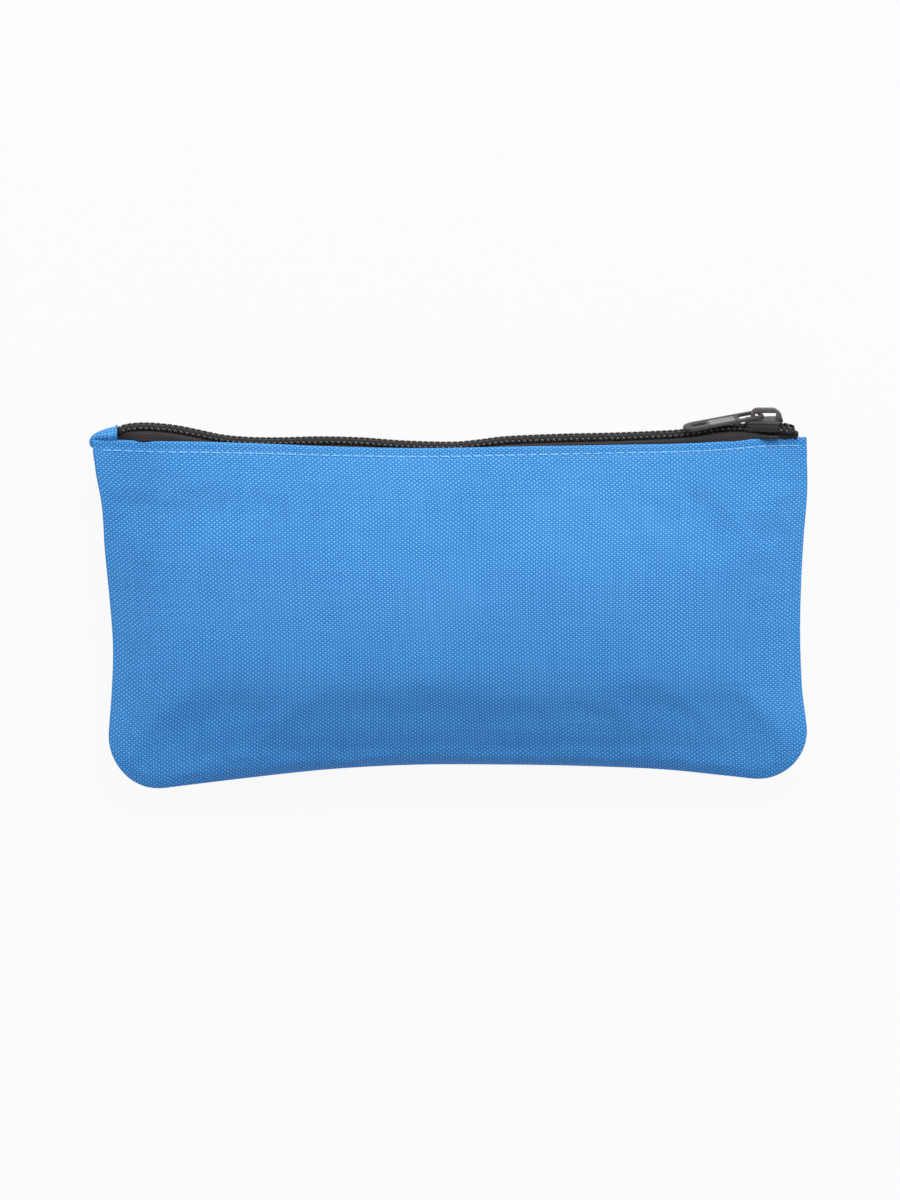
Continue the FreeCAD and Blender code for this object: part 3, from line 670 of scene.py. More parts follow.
# %% Panel grids
PANEL_COLUMNS, PANEL_ROWS = 120, 60
EDGE_CELLS = 0.6
FRONT_ROLL = [(0.05, 0.8), (0.3, 0.42), (0.75, 0.22), (1.2, 0.2)]
BACK_ROLL = [(0.05, 0.8), (0.3, 0.42), (0.85, 0.22), (1.5, 0.05), (1.75, -0.35), (1.8, -1.0)]
STANDS_IN, STANDS_FREE, STANDS_LOW, STANDS_HIGH = 2.2, 1.15, 0.2, 2.2
HEM_TURNS = 5
HEM_DROPS = (1.0, 3.5, 6.5)
turns = [math.pi * turn / HEM_TURNS for turn in range(1, HEM_TURNS + 1)]
HEM_SECTION = [(HEM_ROUND * (1 - math.cos(turn)), HEM_ROUND * math.sin(turn)) for turn in turns]
HEM_SECTION += [(2 * HEM_ROUND, -drop) for drop in HEM_DROPS]
hem_run = run_along(*np.array([(0, 0)] + HEM_SECTION).T)


def eased(share):
    """Shares of a length from 0 to 1, moved so that both ends have the smallest cells."""
    return share - EDGE_CELLS * np.sin(2 * math.pi * share) / (2 * math.pi)


def roll_run(roll):
    """Length along the section of a rolled edge up to each of its points."""
    return run_along(*np.array([(0, SEAM_EDGE)] + roll).T)


def grid_piece(name, columns, rows):
    """Grid of one metre, with the column and the row of each of its vertices."""
    obj = primitive(
        name, bpy.ops.mesh.primitive_grid_add, x_subdivisions=columns, y_subdivisions=rows, size=1
    )
    shares = places_of(obj) * MM + 0.5
    return obj, *np.rint(shares[:, :2] * (columns, rows)).astype(int).T


def lay_grid(obj, places, cut):
    """Put the vertices of a grid in place, and their places on the flat cloth in its UV map."""
    set_places(obj, places)
    layer = obj.data.uv_layers[0]
    layer.name = CUT_MAP
    corners = np.zeros(len(obj.data.loops), int)
    obj.data.loops.foreach_get("vertex_index", corners)
    layer.data.foreach_set("uv", (cut[corners] * MM).astype(np.float32).ravel())


print("hem", round(float(hem_run[-1]), 2), "mm round its fold")

# %% Hem and rolled edges of a panel


def hemmed(side, i, j):
    """Shares, places and cut of grid corners on a panel and its hem, from their columns and rows."""
    hem_row = np.maximum(j - PANEL_ROWS, 0)
    inward, up = np.array([(0, 0)] + HEM_SECTION).T[:, hem_row]
    s = eased(i / PANEL_COLUMNS) * 2 - 1
    t = eased(np.minimum(j, PANEL_ROWS) / PANEL_ROWS)
    cut = np.stack(cut_place(s, t), axis=1)
    cut[:, 1] += hem_run[hem_row]
    t = t + np.minimum(up, 0) / CUT_HEIGHT
    places = np.stack(panel_place(side, s, t), axis=1)
    places[:, 1] += np.maximum(up, 0)
    places[:, 2] -= side * inward
    return s, t, places, cut


def rolled_in(side, roll, ring, i, j, places, cut):
    """Places and cut of the outer rings' corners, moved inwards along the section of the roll."""
    step_i = (i == 0).astype(int) - (i == PANEL_COLUMNS)
    step_j = (j == 0).astype(int)
    beside = cut_place(eased((i + step_i) / PANEL_COLUMNS) * 2 - 1, eased((j + step_j) / PANEL_ROWS))
    in_plan = unit_rows(np.stack(sewn_place(*beside), axis=1) - places[:, :2])
    in_cut = unit_rows(np.stack(beside, axis=1) - cut)
    turned_in, depth = np.array([(0, SEAM_EDGE)] + roll).T[:, ring]
    s = eased(i / PANEL_COLUMNS) * 2 - 1
    t = eased(j / PANEL_ROWS)
    further_in = s * (1 - STANDS_IN / half_length), np.minimum(t + STANDS_IN / CUT_HEIGHT, 1)
    stands = np.clip(panel_depth(FRONT, *further_in) - STANDS_FREE, STANDS_LOW, STANDS_HIGH)
    depth = np.where(depth < 0, depth * stands, depth)
    places[:, :2] += in_plan * turned_in[:, None]
    places[:, 2] = seam_z + side * depth
    cut -= in_cut * roll_run(roll)[ring][:, None]
    return places, cut


print("rolled edge", round(float(roll_run(FRONT_ROLL)[-1]), 2), "mm in front and",
      round(float(roll_run(BACK_ROLL)[-1]), 2), "mm behind")

# %% Panel pieces
HELD_FROM, HELD_TO, HELD_BAND = 0.86, 0.95, 6
SEWN = "sewn"


def outer_side_out(obj, side):
    """Turn all faces so that the panel's middle looks away from the seam plane."""
    obj.data.update()
    highest = max(obj.data.polygons, key=lambda face: side * face.center.z)
    if highest.normal.z * side < 0:
        obj.data.flip_normals()


def panel_grid(name, side, roll):
    """Grid laid out as a panel with its rolled seams and turned hem, with the cut as its UV map."""
    rings = len(roll)
    obj, i, j = grid_piece(name, PANEL_COLUMNS + 2 * rings, PANEL_ROWS + rings + len(HEM_SECTION))
    i, j = i - rings, j - rings
    in_i, in_j = np.clip(i, 0, PANEL_COLUMNS), np.maximum(j, 0)
    ring = np.maximum.reduce([in_i - i, i - in_i, in_j - j])
    beside_hem = (j > PANEL_ROWS) & (ring > 0)
    rolled = (ring > 0) & ~beside_hem
    s, t, places, cut = hemmed(side, in_i, in_j)
    places[rolled], cut[rolled] = rolled_in(
        side, roll, ring[rolled], in_i[rolled], in_j[rolled], places[rolled], cut[rolled]
    )
    lay_grid(obj, places, cut)
    from_seam = np.minimum(half_length * (1 - abs(s)), CUT_HEIGHT * t)
    near_mouth = smooth((t - HELD_FROM) / (HELD_TO - HELD_FROM))
    held = np.maximum(near_mouth, 1 - smooth(from_seam / HELD_BAND))
    held[(j > PANEL_ROWS) | rolled] = 1.0
    group = obj.vertex_groups.new(name=SEWN)
    for number in np.flatnonzero(held > 0):
        group.add([int(number)], float(held[number]), "REPLACE")
    edit(obj)
    pick("verts", lambda vertex: beside_hem[vertex.index])
    bpy.ops.mesh.delete(type="VERT")
    merge_and_turn_out()
    done()
    outer_side_out(obj, side)
    print(name, len(obj.data.polygons), "faces")
    return obj


front_cloth = panel_grid("front_cloth", FRONT, FRONT_ROLL)
back_cloth = panel_grid("back_cloth", BACK, BACK_ROLL)

# %% [markdown]
# ## Let the cloth settle
# A smooth formula looks like moulded plastic. Where the filling draws a seam in, the flat cut has
# length to spare, and real cloth gives in soft dents there. A cloth simulation finds them: rolls, seams
# and hem are held, the cloth is a little longer than the mesh, and a light pressure stands for the
# filling. Part of the movement is kept, and it is capped.

# %% Cloth simulation
SETTLE_FRAMES = 12
SPARE_LENGTH = 0.003
KEPT_SHARE, MOST_MOVE = 0.8, 1.1
CLOTH = {
    "quality": 5, "mass": 0.25, "tension_stiffness": 15, "compression_stiffness": 15,
    "shear_stiffness": 5, "bending_stiffness": 0.5, "air_damping": 2, "use_pressure": True,
    "uniform_pressure_force": 2.5, "shrink_min": -SPARE_LENGTH, "vertex_group_mass": SEWN,
}


def settle(obj):
    """Let a panel's cloth settle with its seams held, and keep a capped share of how far it moved."""
    start = places_of(obj)
    modifier = obj.modifiers.new("cloth", "CLOTH")
    modifier.point_cache.frame_end = SETTLE_FRAMES
    modifier.collision_settings.use_collision = False
    modifier.settings.effector_weights.gravity = 0
    for key, value in CLOTH.items():
        setattr(modifier.settings, key, value)
    for number in range(1, SETTLE_FRAMES + 1):
        bpy.context.scene.frame_set(number)
    settled = obj.evaluated_get(bpy.context.evaluated_depsgraph_get())
    move = (places_of(settled) - start) * KEPT_SHARE
    obj.modifiers.remove(modifier)
    bpy.context.scene.frame_set(1)
    length = np.linalg.norm(move, axis=1)
    places = start + unit_rows(move) * np.minimum(length, MOST_MOVE)[:, None]
    places[:, 2] = np.maximum(places[:, 2], 0)
    set_places(obj, places)
    print(obj.name, "moved", round(float(length.mean()), 2), "mm on average, at most",
          round(float(length.max()), 2))


settle(front_cloth)
settle(back_cloth)

# %% [markdown]
# ## Thickness and coating
# Cloth has two sides: the weave outside, and a smooth film inside. Solidify gives the sheet its wall
# and hands the second material to the inner face. The front panel swings open with the mouth but is
# sewn to the back at both ends, so it bends. It is cut in two at its middle.

# %% Wall, inside and halves
HALVES_MEET = 0.35


def cut_half(obj, name, end):
    """The part of a sheet on one side of the middle, as a sheet of its own."""
    half = obj.copy()
    half.data = obj.data.copy()
    named(half, name)
    bpy.context.scene.collection.objects.link(half)
    edit(half, "FACE", "SELECT")
    bpy.ops.mesh.bisect(
        plane_co=(HALVES_MEET * MM, 0, 0), plane_no=(end, 0, 0), clear_inner=True, threshold=1e-7
    )
    return done()


def bend_with_mouth(obj):
    """Bake the piece's placement into its mesh; it is not tied to either half."""
    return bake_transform(obj)


for cloth in (front_cloth, back_cloth):
    cloth.data.materials.append(case_fabric)
    cloth.data.materials.append(case_inside)
    modify(cloth, "SUBSURF", levels=1, render_levels=1)
front_panel_left = cut_half(front_cloth, "front_panel_left", -1)
front_panel_right = cut_half(front_cloth, "front_panel_right", 1)
for piece in (front_cloth, back_cloth, front_panel_left, front_panel_right):
    modify(piece, "SOLIDIFY", thickness=WALL * MM, offset=-1, material_offset=1)
    smooth_shading(piece)
    print(piece.name, len(piece.data.polygons), "faces")

# %% [markdown]
# ## Sewing thread
# A seam shows as a row of short dashes: the thread comes up through the cloth, lies over it and goes
# down again. Each dash is a small tube with both ends pressed into the cloth. One is modelled, an
# Array repeats it, and the row is then laid on the cloth by measuring its height under each point.

# %% Thread material
STRAND_LENGTH = 0.55


def twisted_thread(name, dark, light):
    """Thread whose two strands show as slanting stripes of painted highlight and painted shade."""
    paint = Paint(name)
    x, y, z = paint.coordinates()
    # Painted highlight on each strand's ridge and painted shade in the groove between strands.
    level = paint.wave(x + y * 1.6 + z * 1.6, STRAND_LENGTH) * 0.5 + 0.5
    normal = paint.bump(level, 0.05)
    return paint.finish(
        Base_Color=paint.tint(level, dark, light), Roughness=0.55, Normal=normal,
        Specular_IOR_Level=0.35,
    )


blue_thread = twisted_thread("sewing_thread", (0.10, 0.335, 0.72, 1), (0.25, 0.55, 0.92, 1))
print("thread strands every", STRAND_LENGTH, "mm")

# %% One stitch and its row
STITCH_PITCH, STITCH_LENGTH, THREAD_HALF = 3.3, 2.8, 0.18
STITCH_RISE, STITCH_DIVE, STITCH_BEND = 0.2, 0.45, 6
STITCH_RINGS = (-0.47, -0.41, -0.3, 0.3, 0.41, 0.47)
OVER_ALL = 80


def one_stitch(name):
    """A dash of thread along X from x = 0, higher in its middle than at its ends."""
    obj = primitive(
        name, bpy.ops.mesh.primitive_cylinder_add, vertices=6, radius=THREAD_HALF * MM,
        depth=STITCH_LENGTH * MM, rotation=(0, math.pi / 2, 0),
    )
    cut_across(obj, *[share * STITCH_LENGTH for share in STITCH_RINGS])
    places = places_of(obj)
    across = 2 * places[:, 0] / STITCH_LENGTH
    places[:, 2] += STITCH_RISE - (STITCH_RISE + STITCH_DIVE) * abs(across) ** STITCH_BEND
    places[:, 0] += STITCH_LENGTH / 2
    set_places(obj, places)
    return obj


def height_over(cloth, x, y, side):
    """Height of a cloth's outer side at a place in plan."""
    found, where, _, _ = cloth.ray_cast(Vector((x, y, OVER_ALL * side)) * MM, Vector((0, 0, -side)))
    return where.z / MM if found else seam_z


def laid_row(name, cloth, side, start, stop, line):
    """Row of stitches from start to stop along X, on a cloth, at the height line(x) in plan."""
    row = repeated(one_stitch(name), STITCH_PITCH, int((stop - start) / STITCH_PITCH), start)
    places = places_of(row)
    places[:, 1] += line(places[:, 0])
    for place in places:
        place[2] = height_over(cloth, place[0], place[1], side) + side * place[2]
    set_places(row, places)
    finished(row, blue_thread)
    print(name, len(row.data.polygons), "faces")
    return row


print("stitch", STITCH_LENGTH, "mm long, every", STITCH_PITCH, "mm")

# %% [markdown]
# ## Topstitch
# One row runs along the mouth a little below the fold and holds hem and zip tape together. On the
# front it comes closer to the fold towards the right end. The row is split at the middle like its panel.

# %% Topstitch along the mouth
stitch_inset = curve_through([(-108, 3.2), (-75, 3.1), (-40, 2.6), (20, 2.45), (60, 2.3), (108, 2.6)])
STITCH_MIDDLE, STITCH_END = 0.4, 108.2
STITCH_START = STITCH_MIDDLE - 32 * STITCH_PITCH


def front_line(x):
    """Height in plan of the front topstitch."""
    return hem_fold(x) - stitch_inset(x)


def back_line(x):
    """Height in plan of the back topstitch."""
    return fold_of(BACK, x) - STITCH_BELOW_FOLD


front_topstitch_left = laid_row(
    "front_topstitch_left", front_cloth, FRONT, STITCH_START, STITCH_MIDDLE, front_line
)
front_topstitch_right = laid_row(
    "front_topstitch_right", front_cloth, FRONT, STITCH_MIDDLE, STITCH_END, front_line
)
back_row = laid_row("back_row", back_cloth, BACK, STITCH_START, STITCH_END, back_line)

# %% [markdown]
# ## Seam thread
# The same stitches close the sides and the bottom. They lie between the rolled edges, where they hold
# both panels and hardly show, so each row is laid along the panel's outline, a little inside it.

# %% Seams
SEAM_INSET = 0.95
SEAM_TOP = 0.97


def seam_row(name, s, t):
    """Row of stitches between the panels, inside the outline at the shares s and t of the cut."""
    line = np.stack(sewn_place(*cut_place(s, t)), axis=1)
    ahead = unit_rows(np.gradient(line, axis=0))
    inward = np.stack([-ahead[:, 1], ahead[:, 0]], axis=1)
    line = line + inward * SEAM_INSET
    run = run_along(*line.T)
    row = repeated(one_stitch(name), STITCH_PITCH, int(run[-1] / STITCH_PITCH), 0)
    along, aside, up = places_of(row).T
    x, y = [
        np.interp(along, run, line[:, axis]) + aside * np.interp(along, run, inward[:, axis])
        for axis in range(2)
    ]
    set_places(row, np.stack([x, y, up + seam_z - STITCH_RISE], axis=1))
    print(name, round(float(run[-1]), 1), "mm long")
    return finished(row, blue_thread)


down = np.linspace(SEAM_TOP, 0, 150)
across = np.linspace(-1, 1, 300)
left_seam = seam_row("left_seam", np.full_like(down, -1), down)
bottom_seam = seam_row("bottom_seam", across, np.zeros_like(across))
right_seam = seam_row("right_seam", np.full_like(down, 1), down[::-1])

# %% [markdown]
# ## The chain's route
# The zip is sewn in a little long, so it stands up near both ends, where the seams push it together,
# and lies deeper between the hems in its middle. All parts of the zip follow one curve: the top of
# the coils. Inside the slider the two coils part round its wedge.

# %% Route of the chain
COIL_RISE, TAPE, TAPE_UNDER = 1.9, 0.5, 0.5
ZIP_START, ZIP_END = -103.4, 105
CLOSED, PARTED = -0.15, 1.42
PART_START, PART_END = slider_x - 0.8, slider_x + 3.2
chain_top = curve_through([
    (-108.5, 52.4), (-104, 54.2), (-101.5, 55.5), (-99, 56.7), (-96.5, 57.2), (-93, 57.4),
    (-87.6, 57.15), (-82.4, 56.5), (-76, 55.2), (-69, 53.7), (-62, 53.0), (-52, 52.8), (-40, 53.1),
    (-27, 52.8), (-15, 51.9), (-4, 51.5), (3, 51.55), (9, 52.2), (15, 53.0), (24, 53.55),
    (33, 53.9), (50, 54.3), (62, 54.8), (69, 55.2), (75, 56.0), (81, 56.95), (85, 57.25), (89, 57.15),
    (94.4, 57.05), (100.3, 57.05), (102.6, 56.7), (105.2, 55.7), (108.5, 54.3),
])


def coil_split(x):
    """Distance from the seam plane to the inner end of a coil."""
    return CLOSED + (PARTED - CLOSED) * smooth((x - PART_START) / (PART_END - PART_START))


def lay_on_route(obj, side):
    """Carry a straight piece over to the chain: X along it, Y up from the tape and Z out of the seam."""
    places = places_of(obj)
    x = places[:, 0]
    places[:, 1] += chain_top(x) - COIL_RISE
    places[:, 2] = seam_z + side * (coil_split(x) + places[:, 2])
    set_places(obj, places)
    return obj


print("chain top from", round(float(chain_top(np.linspace(-105, 105, 400)).min()), 1), "to",
      round(float(chain_top(np.linspace(-105, 105, 400)).max()), 1), "mm")

# %% [markdown]
# ## Zip tapes
# Each tape lies flat under its coil, bends over the hem's edge and runs down inside the panel, where
# the topstitch holds it. Where the chain stands up near both ends, the tape reaches further out and
# bends at a knee over the hem, which clears the bottom plate of the closed slider. The section changes
# along the zip, so each tape is a grid laid row by row.

# %% Tape material
RIB, TWILL = 0.46, 0.52


def ribbed_tape(name, dark, light):
    """Narrow woven tape with fine ribs along its length and a finer twill across."""
    paint = Paint(name)
    x, y, _ = paint.coordinates(CUT_MAP)
    rib = paint.wave(y, RIB)
    twill = paint.wave(x + y * 0.8, TWILL)
    cloud = paint.noise(x * 0.12, y * 0.4, 2.0)
    # Rib and twill in the colour are painted highlight on their ridges and painted shade between them;
    # the cloud is the tape's own uneven tone.
    level = rib * 0.28 + twill * 0.22 + cloud * 0.5 + 0.25
    normal = paint.bump(rib * 0.5 + twill * 0.35, 0.07)
    return paint.finish(
        Base_Color=paint.tint(level, dark, light), Roughness=0.75, Normal=normal,
        Specular_IOR_Level=0.12, Sheen_Weight=0.03, Sheen_Roughness=0.4,
    )


tape_cloth = ribbed_tape("zip_tape", (0.016, 0.014, 0.017, 1), (0.044, 0.039, 0.047, 1))
print("tape ribs every", RIB, "mm")

# %% Section of a tape
TAPE_HEM = 8
HEM_STACK = 2 * HEM_ROUND + 0.12
PULL_FROM, PULL_RANGE = 1.5, 4.4
SLIDER_REACH, SLIDER_KNEE = 5.75, 52.7
LEFT_FADE, RIGHT_FADE, FADE_LENGTH = 9.5, 2, 7
TURN_DROP, EDGE_GAP = 1.75, 0.15
KNEE_SHARE, KNEE_UNDER, NECK_UNDER = 0.4, 0.4, 0.1
TAPE_STEPS = (4, 3, 2, 3, 4)


def inside_hem(side, x, y):
    """Distance from the seam plane to the middle of a tape that lies on the hem's inside."""
    crest = fold_of(side, x) - HEM_ROUND
    up = 1 - (crest - np.minimum(y, crest)) / CUT_HEIGHT
    return panel_depth(side, x / half_length, up) - HEM_STACK - TAPE / 2


def tape_section(side, x):
    """Middle of the tape across the zip, as (distance from the seam plane, height) at places x."""
    top = chain_top(x) - COIL_RISE - TAPE / 2
    fold = fold_of(side, x)
    pull = np.clip((top - fold + PULL_FROM) / PULL_RANGE, 0, 1)
    from_end = half_length - abs(x) - np.where(x < 0, LEFT_FADE, RIGHT_FADE)
    inside = smooth(from_end / FADE_LENGTH)
    stands_over = smooth(2 * pull)
    reaches_out = smooth(2 * pull - 1) * inside
    start = coil_split(x) + TAPE_UNDER
    flat_end = mixed_by(reaches_out, inside_hem(side, x, top), SLIDER_REACH)
    flat_end = np.maximum(flat_end, start + TAPE)
    turn = fold - TAPE - TURN_DROP * (1 - pull)
    turn_z = inside_hem(side, x, turn)
    over_edge = fold + EDGE_GAP + TAPE / 2
    high_knee = mixed_by(inside, over_edge, SLIDER_KNEE)
    knee = mixed_by(stands_over, mixed_by(KNEE_SHARE, turn, top), high_knee)
    knee = np.minimum(knee, top - KNEE_UNDER)
    neck = mixed_by(stands_over, (knee + turn) / 2, over_edge)
    neck = np.minimum(neck, knee - NECK_UNDER)
    neck_z = mixed_by(stands_over, (flat_end + turn_z) / 2, inside_hem(side, x, fold))
    low = fold - TAPE_HEM
    corners = [(start, top), (flat_end, top), (flat_end, knee), (neck_z, neck), (turn_z, turn)]
    corners.append((inside_hem(side, x, low), low))
    return np.array([np.broadcast_arrays(z, y) for z, y in corners])


print("a tape is", sum(TAPE_STEPS), "cells across")

# %% Tape pieces


def laid_grid(name, places, cut):
    """Grid laid at places[column, row], with places on the flat piece as its UV map."""
    obj, i, j = grid_piece(name, places.shape[0] - 1, places.shape[1] - 1)
    lay_grid(obj, places[i, j], cut[i, j])
    return obj


def zip_stations(start, stop):
    """Places along the zip, closer together where the chain curves at its ends."""
    whole = np.concatenate([
        np.linspace(ZIP_START, -60, 46), np.linspace(-58, 0, 30),
        np.linspace(2, 60, 30), np.linspace(61, ZIP_END, 60),
    ])
    inside = whole[(whole > start + 0.1) & (whole < stop - 0.1)]
    return np.concatenate([[start], inside, [stop]])


def tape_piece(name, side, start, stop):
    """Zip tape between two places along the zip."""
    x = zip_stations(start, stop)
    corners = tape_section(side, x)
    rows = []
    for first, second, steps in zip(corners, corners[1:], TAPE_STEPS):
        rows += [mixed_by(step / steps, first, second) for step in range(steps)]
    rows.append(corners[-1])
    z, y = np.array(rows).transpose(1, 2, 0)
    across = np.broadcast_to(x[:, None], z.shape)
    places = np.stack([across, y, seam_z + side * z], axis=2)
    run = run_along(z, y)
    obj = laid_grid(name, places, np.stack([across, run], axis=2))
    modify(obj, "SUBSURF", levels=1, render_levels=1)
    modify(obj, "SOLIDIFY", thickness=TAPE * MM, offset=0)
    print(name, len(obj.data.polygons), "faces,", round(float(run[:, -1].mean()), 1), "mm across")
    return finished(obj, tape_cloth)


front_tape_left = tape_piece("front_tape_left", FRONT, ZIP_START, 0)
front_tape_right = tape_piece("front_tape_right", FRONT, 0, ZIP_END)
back_tape_whole = tape_piece("back_tape_whole", BACK, ZIP_START, ZIP_END)

# %% [markdown]
# ## Coils
# A coil zip has no separate teeth: one stiff nylon thread is wound like a spring and pressed flat.
# Each turn has a head, which hooks into the other coil, two legs and a heel. One turn is drawn
# from a small circle by extruding its legs and spinning its head and heel. The lower leg slants on by
# one pitch, so an Array with merged ends winds the whole coil.

# %% Nylon material
COIL_PITCH, COIL_WIDTH, WIRE = 1.76, 3.0, 0.36
HEAD_FLAT, HEEL_FLAT, TOP_FLAT = 1.0, 2.4, 3.3
CREST = 0.7 * WIRE
FLAT_FROM, FLAT_RAMP = 0.4, 0.8


def moulded_nylon(name, dark, light):
    """Shiny nylon that is a little lighter where it has been rubbed."""
    paint = Paint(name)
    x, y, z = paint.coordinates()
    rubbed = paint.noise(x * 0.9, y * 0.9, z * 0.9, detail=3.0)
    normal = paint.bump(paint.noise(x * 2.5, y * 2.5, z * 2.5), 0.04)
    return paint.finish(
        Base_Color=paint.tint(rubbed * 1.6 - 0.3, dark, light),
        Roughness=0.34 + rubbed * 0.2, Normal=normal, Specular_IOR_Level=0.14,
    )


coil_nylon = moulded_nylon("coil_nylon", (0.005, 0.004, 0.005, 1), (0.018, 0.016, 0.018, 1))
print("a turn every", COIL_PITCH, "mm")

# %% One turn of a coil


def one_turn(name):
    """One turn, from the heel's top round the head and back to the heel's top one pitch further on."""
    leg_top, leg_low = COIL_RISE - WIRE, WIRE
    bend = (leg_top - leg_low) / 2
    heel_z, head_z = COIL_WIDTH - WIRE - bend, WIRE + bend
    centre_y = (leg_top + leg_low) / 2
    obj = primitive(
        name, bpy.ops.mesh.primitive_circle_add, vertices=6, radius=WIRE * MM, fill_type="NOTHING",
        location=(0, leg_top * MM, heel_z * MM), rotation=(0, 0, math.pi / 6),
    )
    edit(obj, picked="SELECT")
    leg = (heel_z - head_z) * MM
    for shift, turned_at in (((0, 0, -leg), head_z), ((COIL_PITCH * MM, 0, leg), heel_z)):
        bpy.ops.mesh.extrude_region_move(TRANSFORM_OT_translate={"value": shift})
        centre = (0, centre_y * MM, turned_at * MM)
        bpy.ops.mesh.spin(steps=4, angle=math.pi, center=centre, axis=(1, 0, 0))
    done()
    places = places_of(obj)
    half_way = len(places) // 2 + 3
    wire_x = np.where(np.arange(len(places)) < half_way, 0, COIL_PITCH)
    off = places[:, 0] - wire_x
    pressed = np.where(abs(off) < CREST, TOP_FLAT, HEEL_FLAT)
    towards_heel = smooth((places[:, 2] - FLAT_FROM) / FLAT_RAMP)
    places[:, 0] = wire_x + off * mixed_by(towards_heel, HEAD_FLAT, pressed)
    set_places(obj, places)
    return obj


def coil_piece(name, side, start, count):
    """A coil of count turns from start, with closed ends, laid on the chain's route."""
    obj = repeated(one_turn(name), COIL_PITCH, count, start, merged=True)
    edit(obj, "EDGE", "SELECT")
    bpy.ops.mesh.fill_holes(sides=12)
    finished(lay_on_route(done(), side), coil_nylon, 60)
    print(name, len(obj.data.polygons), "faces")
    return obj


COIL_MIDDLE = 0.6
LEFT_TURNS = int((COIL_MIDDLE - ZIP_START) / COIL_PITCH)
RIGHT_TURNS = int((ZIP_END - COIL_MIDDLE) / COIL_PITCH)
LEFT_START = COIL_MIDDLE - LEFT_TURNS * COIL_PITCH
front_coil_left = coil_piece("front_coil_left", FRONT, LEFT_START, LEFT_TURNS)
front_coil_right = coil_piece("front_coil_right", FRONT, COIL_MIDDLE, RIGHT_TURNS)
back_coil_whole = coil_piece(
    "back_coil_whole", BACK, LEFT_START + COIL_PITCH / 2, LEFT_TURNS + RIGHT_TURNS - 1
)

# %% [markdown]
# ## Cord and coil stitching
# A cord runs through each coil, and two rows of thread pass round every turn and through the tape.
# From the side they show as one pale dot at the foot of each turn. The cord is a flattened tube; the
# stitching is one small loop round the heel, repeated like the coil and laid on the same route.

# %% Cord in the coil
cord_twist = twisted_thread("cord", (0.012, 0.011, 0.012, 1), (0.04, 0.037, 0.04, 1))
CORD_HALF_WIDE, CORD_HALF_HIGH, CORD_END = 0.42, 0.2, 0.4


def cord_piece(name, side, start, stop):
    """Flattened cord along the inside of a coil."""
    obj = primitive(
        name, bpy.ops.mesh.primitive_cylinder_add, vertices=8, radius=MM, depth=(stop - start) * MM,
        rotation=(0, math.pi / 2, 0), location=((start + stop) / 2 * MM, 0, 0), end_fill_type="TRIFAN",
    )
    cut_across(obj, *np.arange(start + 2, stop - 1, 2))
    flattened = places_of(obj) * (1, CORD_HALF_HIGH, CORD_HALF_WIDE)
    set_places(obj, flattened + (0, COIL_RISE / 2, COIL_WIDTH / 2))
    return finished(lay_on_route(obj, side), cord_twist, 60)


front_cord_left = cord_piece("front_cord_left", FRONT, ZIP_START + CORD_END, 0)
front_cord_right = cord_piece("front_cord_right", FRONT, 0, ZIP_END - CORD_END)
back_cord_whole = cord_piece("back_cord_whole", BACK, ZIP_START + CORD_END, ZIP_END - CORD_END)
print("cord", len(back_cord_whole.data.polygons), "faces")

# %% Stitching round the heels
pale_thread = twisted_thread("coil_thread", (0.1, 0.095, 0.1, 1), (0.36, 0.35, 0.36, 1))
LOOP_WIRE, LOOP_HALF, LOOP_STEPS = 0.17, 0.48, 4
LOOP_BOTTOM, LOOP_TOP, LOOP_OUT, LOOP_LEAN = 0.25, 1.25, 3.1, 0.5


def heel_loop(name):
    """A loop of thread that goes up from the tape, over the foot of a heel and down again."""
    obj = primitive(
        name, bpy.ops.mesh.primitive_circle_add, vertices=5, radius=LOOP_WIRE * MM, fill_type="NGON",
        rotation=(0, math.pi / 2, 0), location=(-LOOP_HALF * MM, 0, 0),
    )
    edit(obj, "FACE", "SELECT")
    step = (2 * LOOP_HALF / LOOP_STEPS * MM, 0, 0)
    for _ in range(LOOP_STEPS):
        bpy.ops.mesh.extrude_region_move(TRANSFORM_OT_translate={"value": step})
    done()
    face_outwards(obj)
    places = places_of(obj)
    rise = 1 - (places[:, 0] / LOOP_HALF) ** 2
    places[:, 1] += mixed_by(rise, LOOP_BOTTOM, LOOP_TOP)
    places[:, 2] += mixed_by(rise, LOOP_OUT - LOOP_LEAN, LOOP_OUT)
    set_places(obj, places)
    return obj


def stitching_piece(name, side, start, count):
    """Loops round the heels of count turns."""
    obj = repeated(heel_loop(name), COIL_PITCH, count, start, merged=True)
    finished(lay_on_route(obj, side), pale_thread, 60)
    print(name, len(obj.data.polygons), "faces")
    return obj


HEEL_SHIFT = COIL_PITCH / 2
UNDER_TAB = 2
COVERED = UNDER_TAB * COIL_PITCH
front_coil_thread_left = stitching_piece(
    "front_coil_thread_left", FRONT, LEFT_START + COVERED + HEEL_SHIFT, LEFT_TURNS - UNDER_TAB
)
front_coil_thread_right = stitching_piece(
    "front_coil_thread_right", FRONT, COIL_MIDDLE + HEEL_SHIFT, RIGHT_TURNS - 1
)
back_coil_thread = stitching_piece(
    "back_coil_thread", BACK, LEFT_START + COVERED + COIL_PITCH, LEFT_TURNS + RIGHT_TURNS - 2 - UNDER_TAB
)

# %% [markdown]
# ## End tab
# A short folded strip of the case cloth covers the left end of the zip. It is caught in the side seam,
# goes over the chain like a hood and tucks in behind the hems. Its open end is turned in, which shows
# as a roll. The section is an arch that widens over the coils, laid station by station. The strip is
# cut on the slant, so its threads run diagonally.

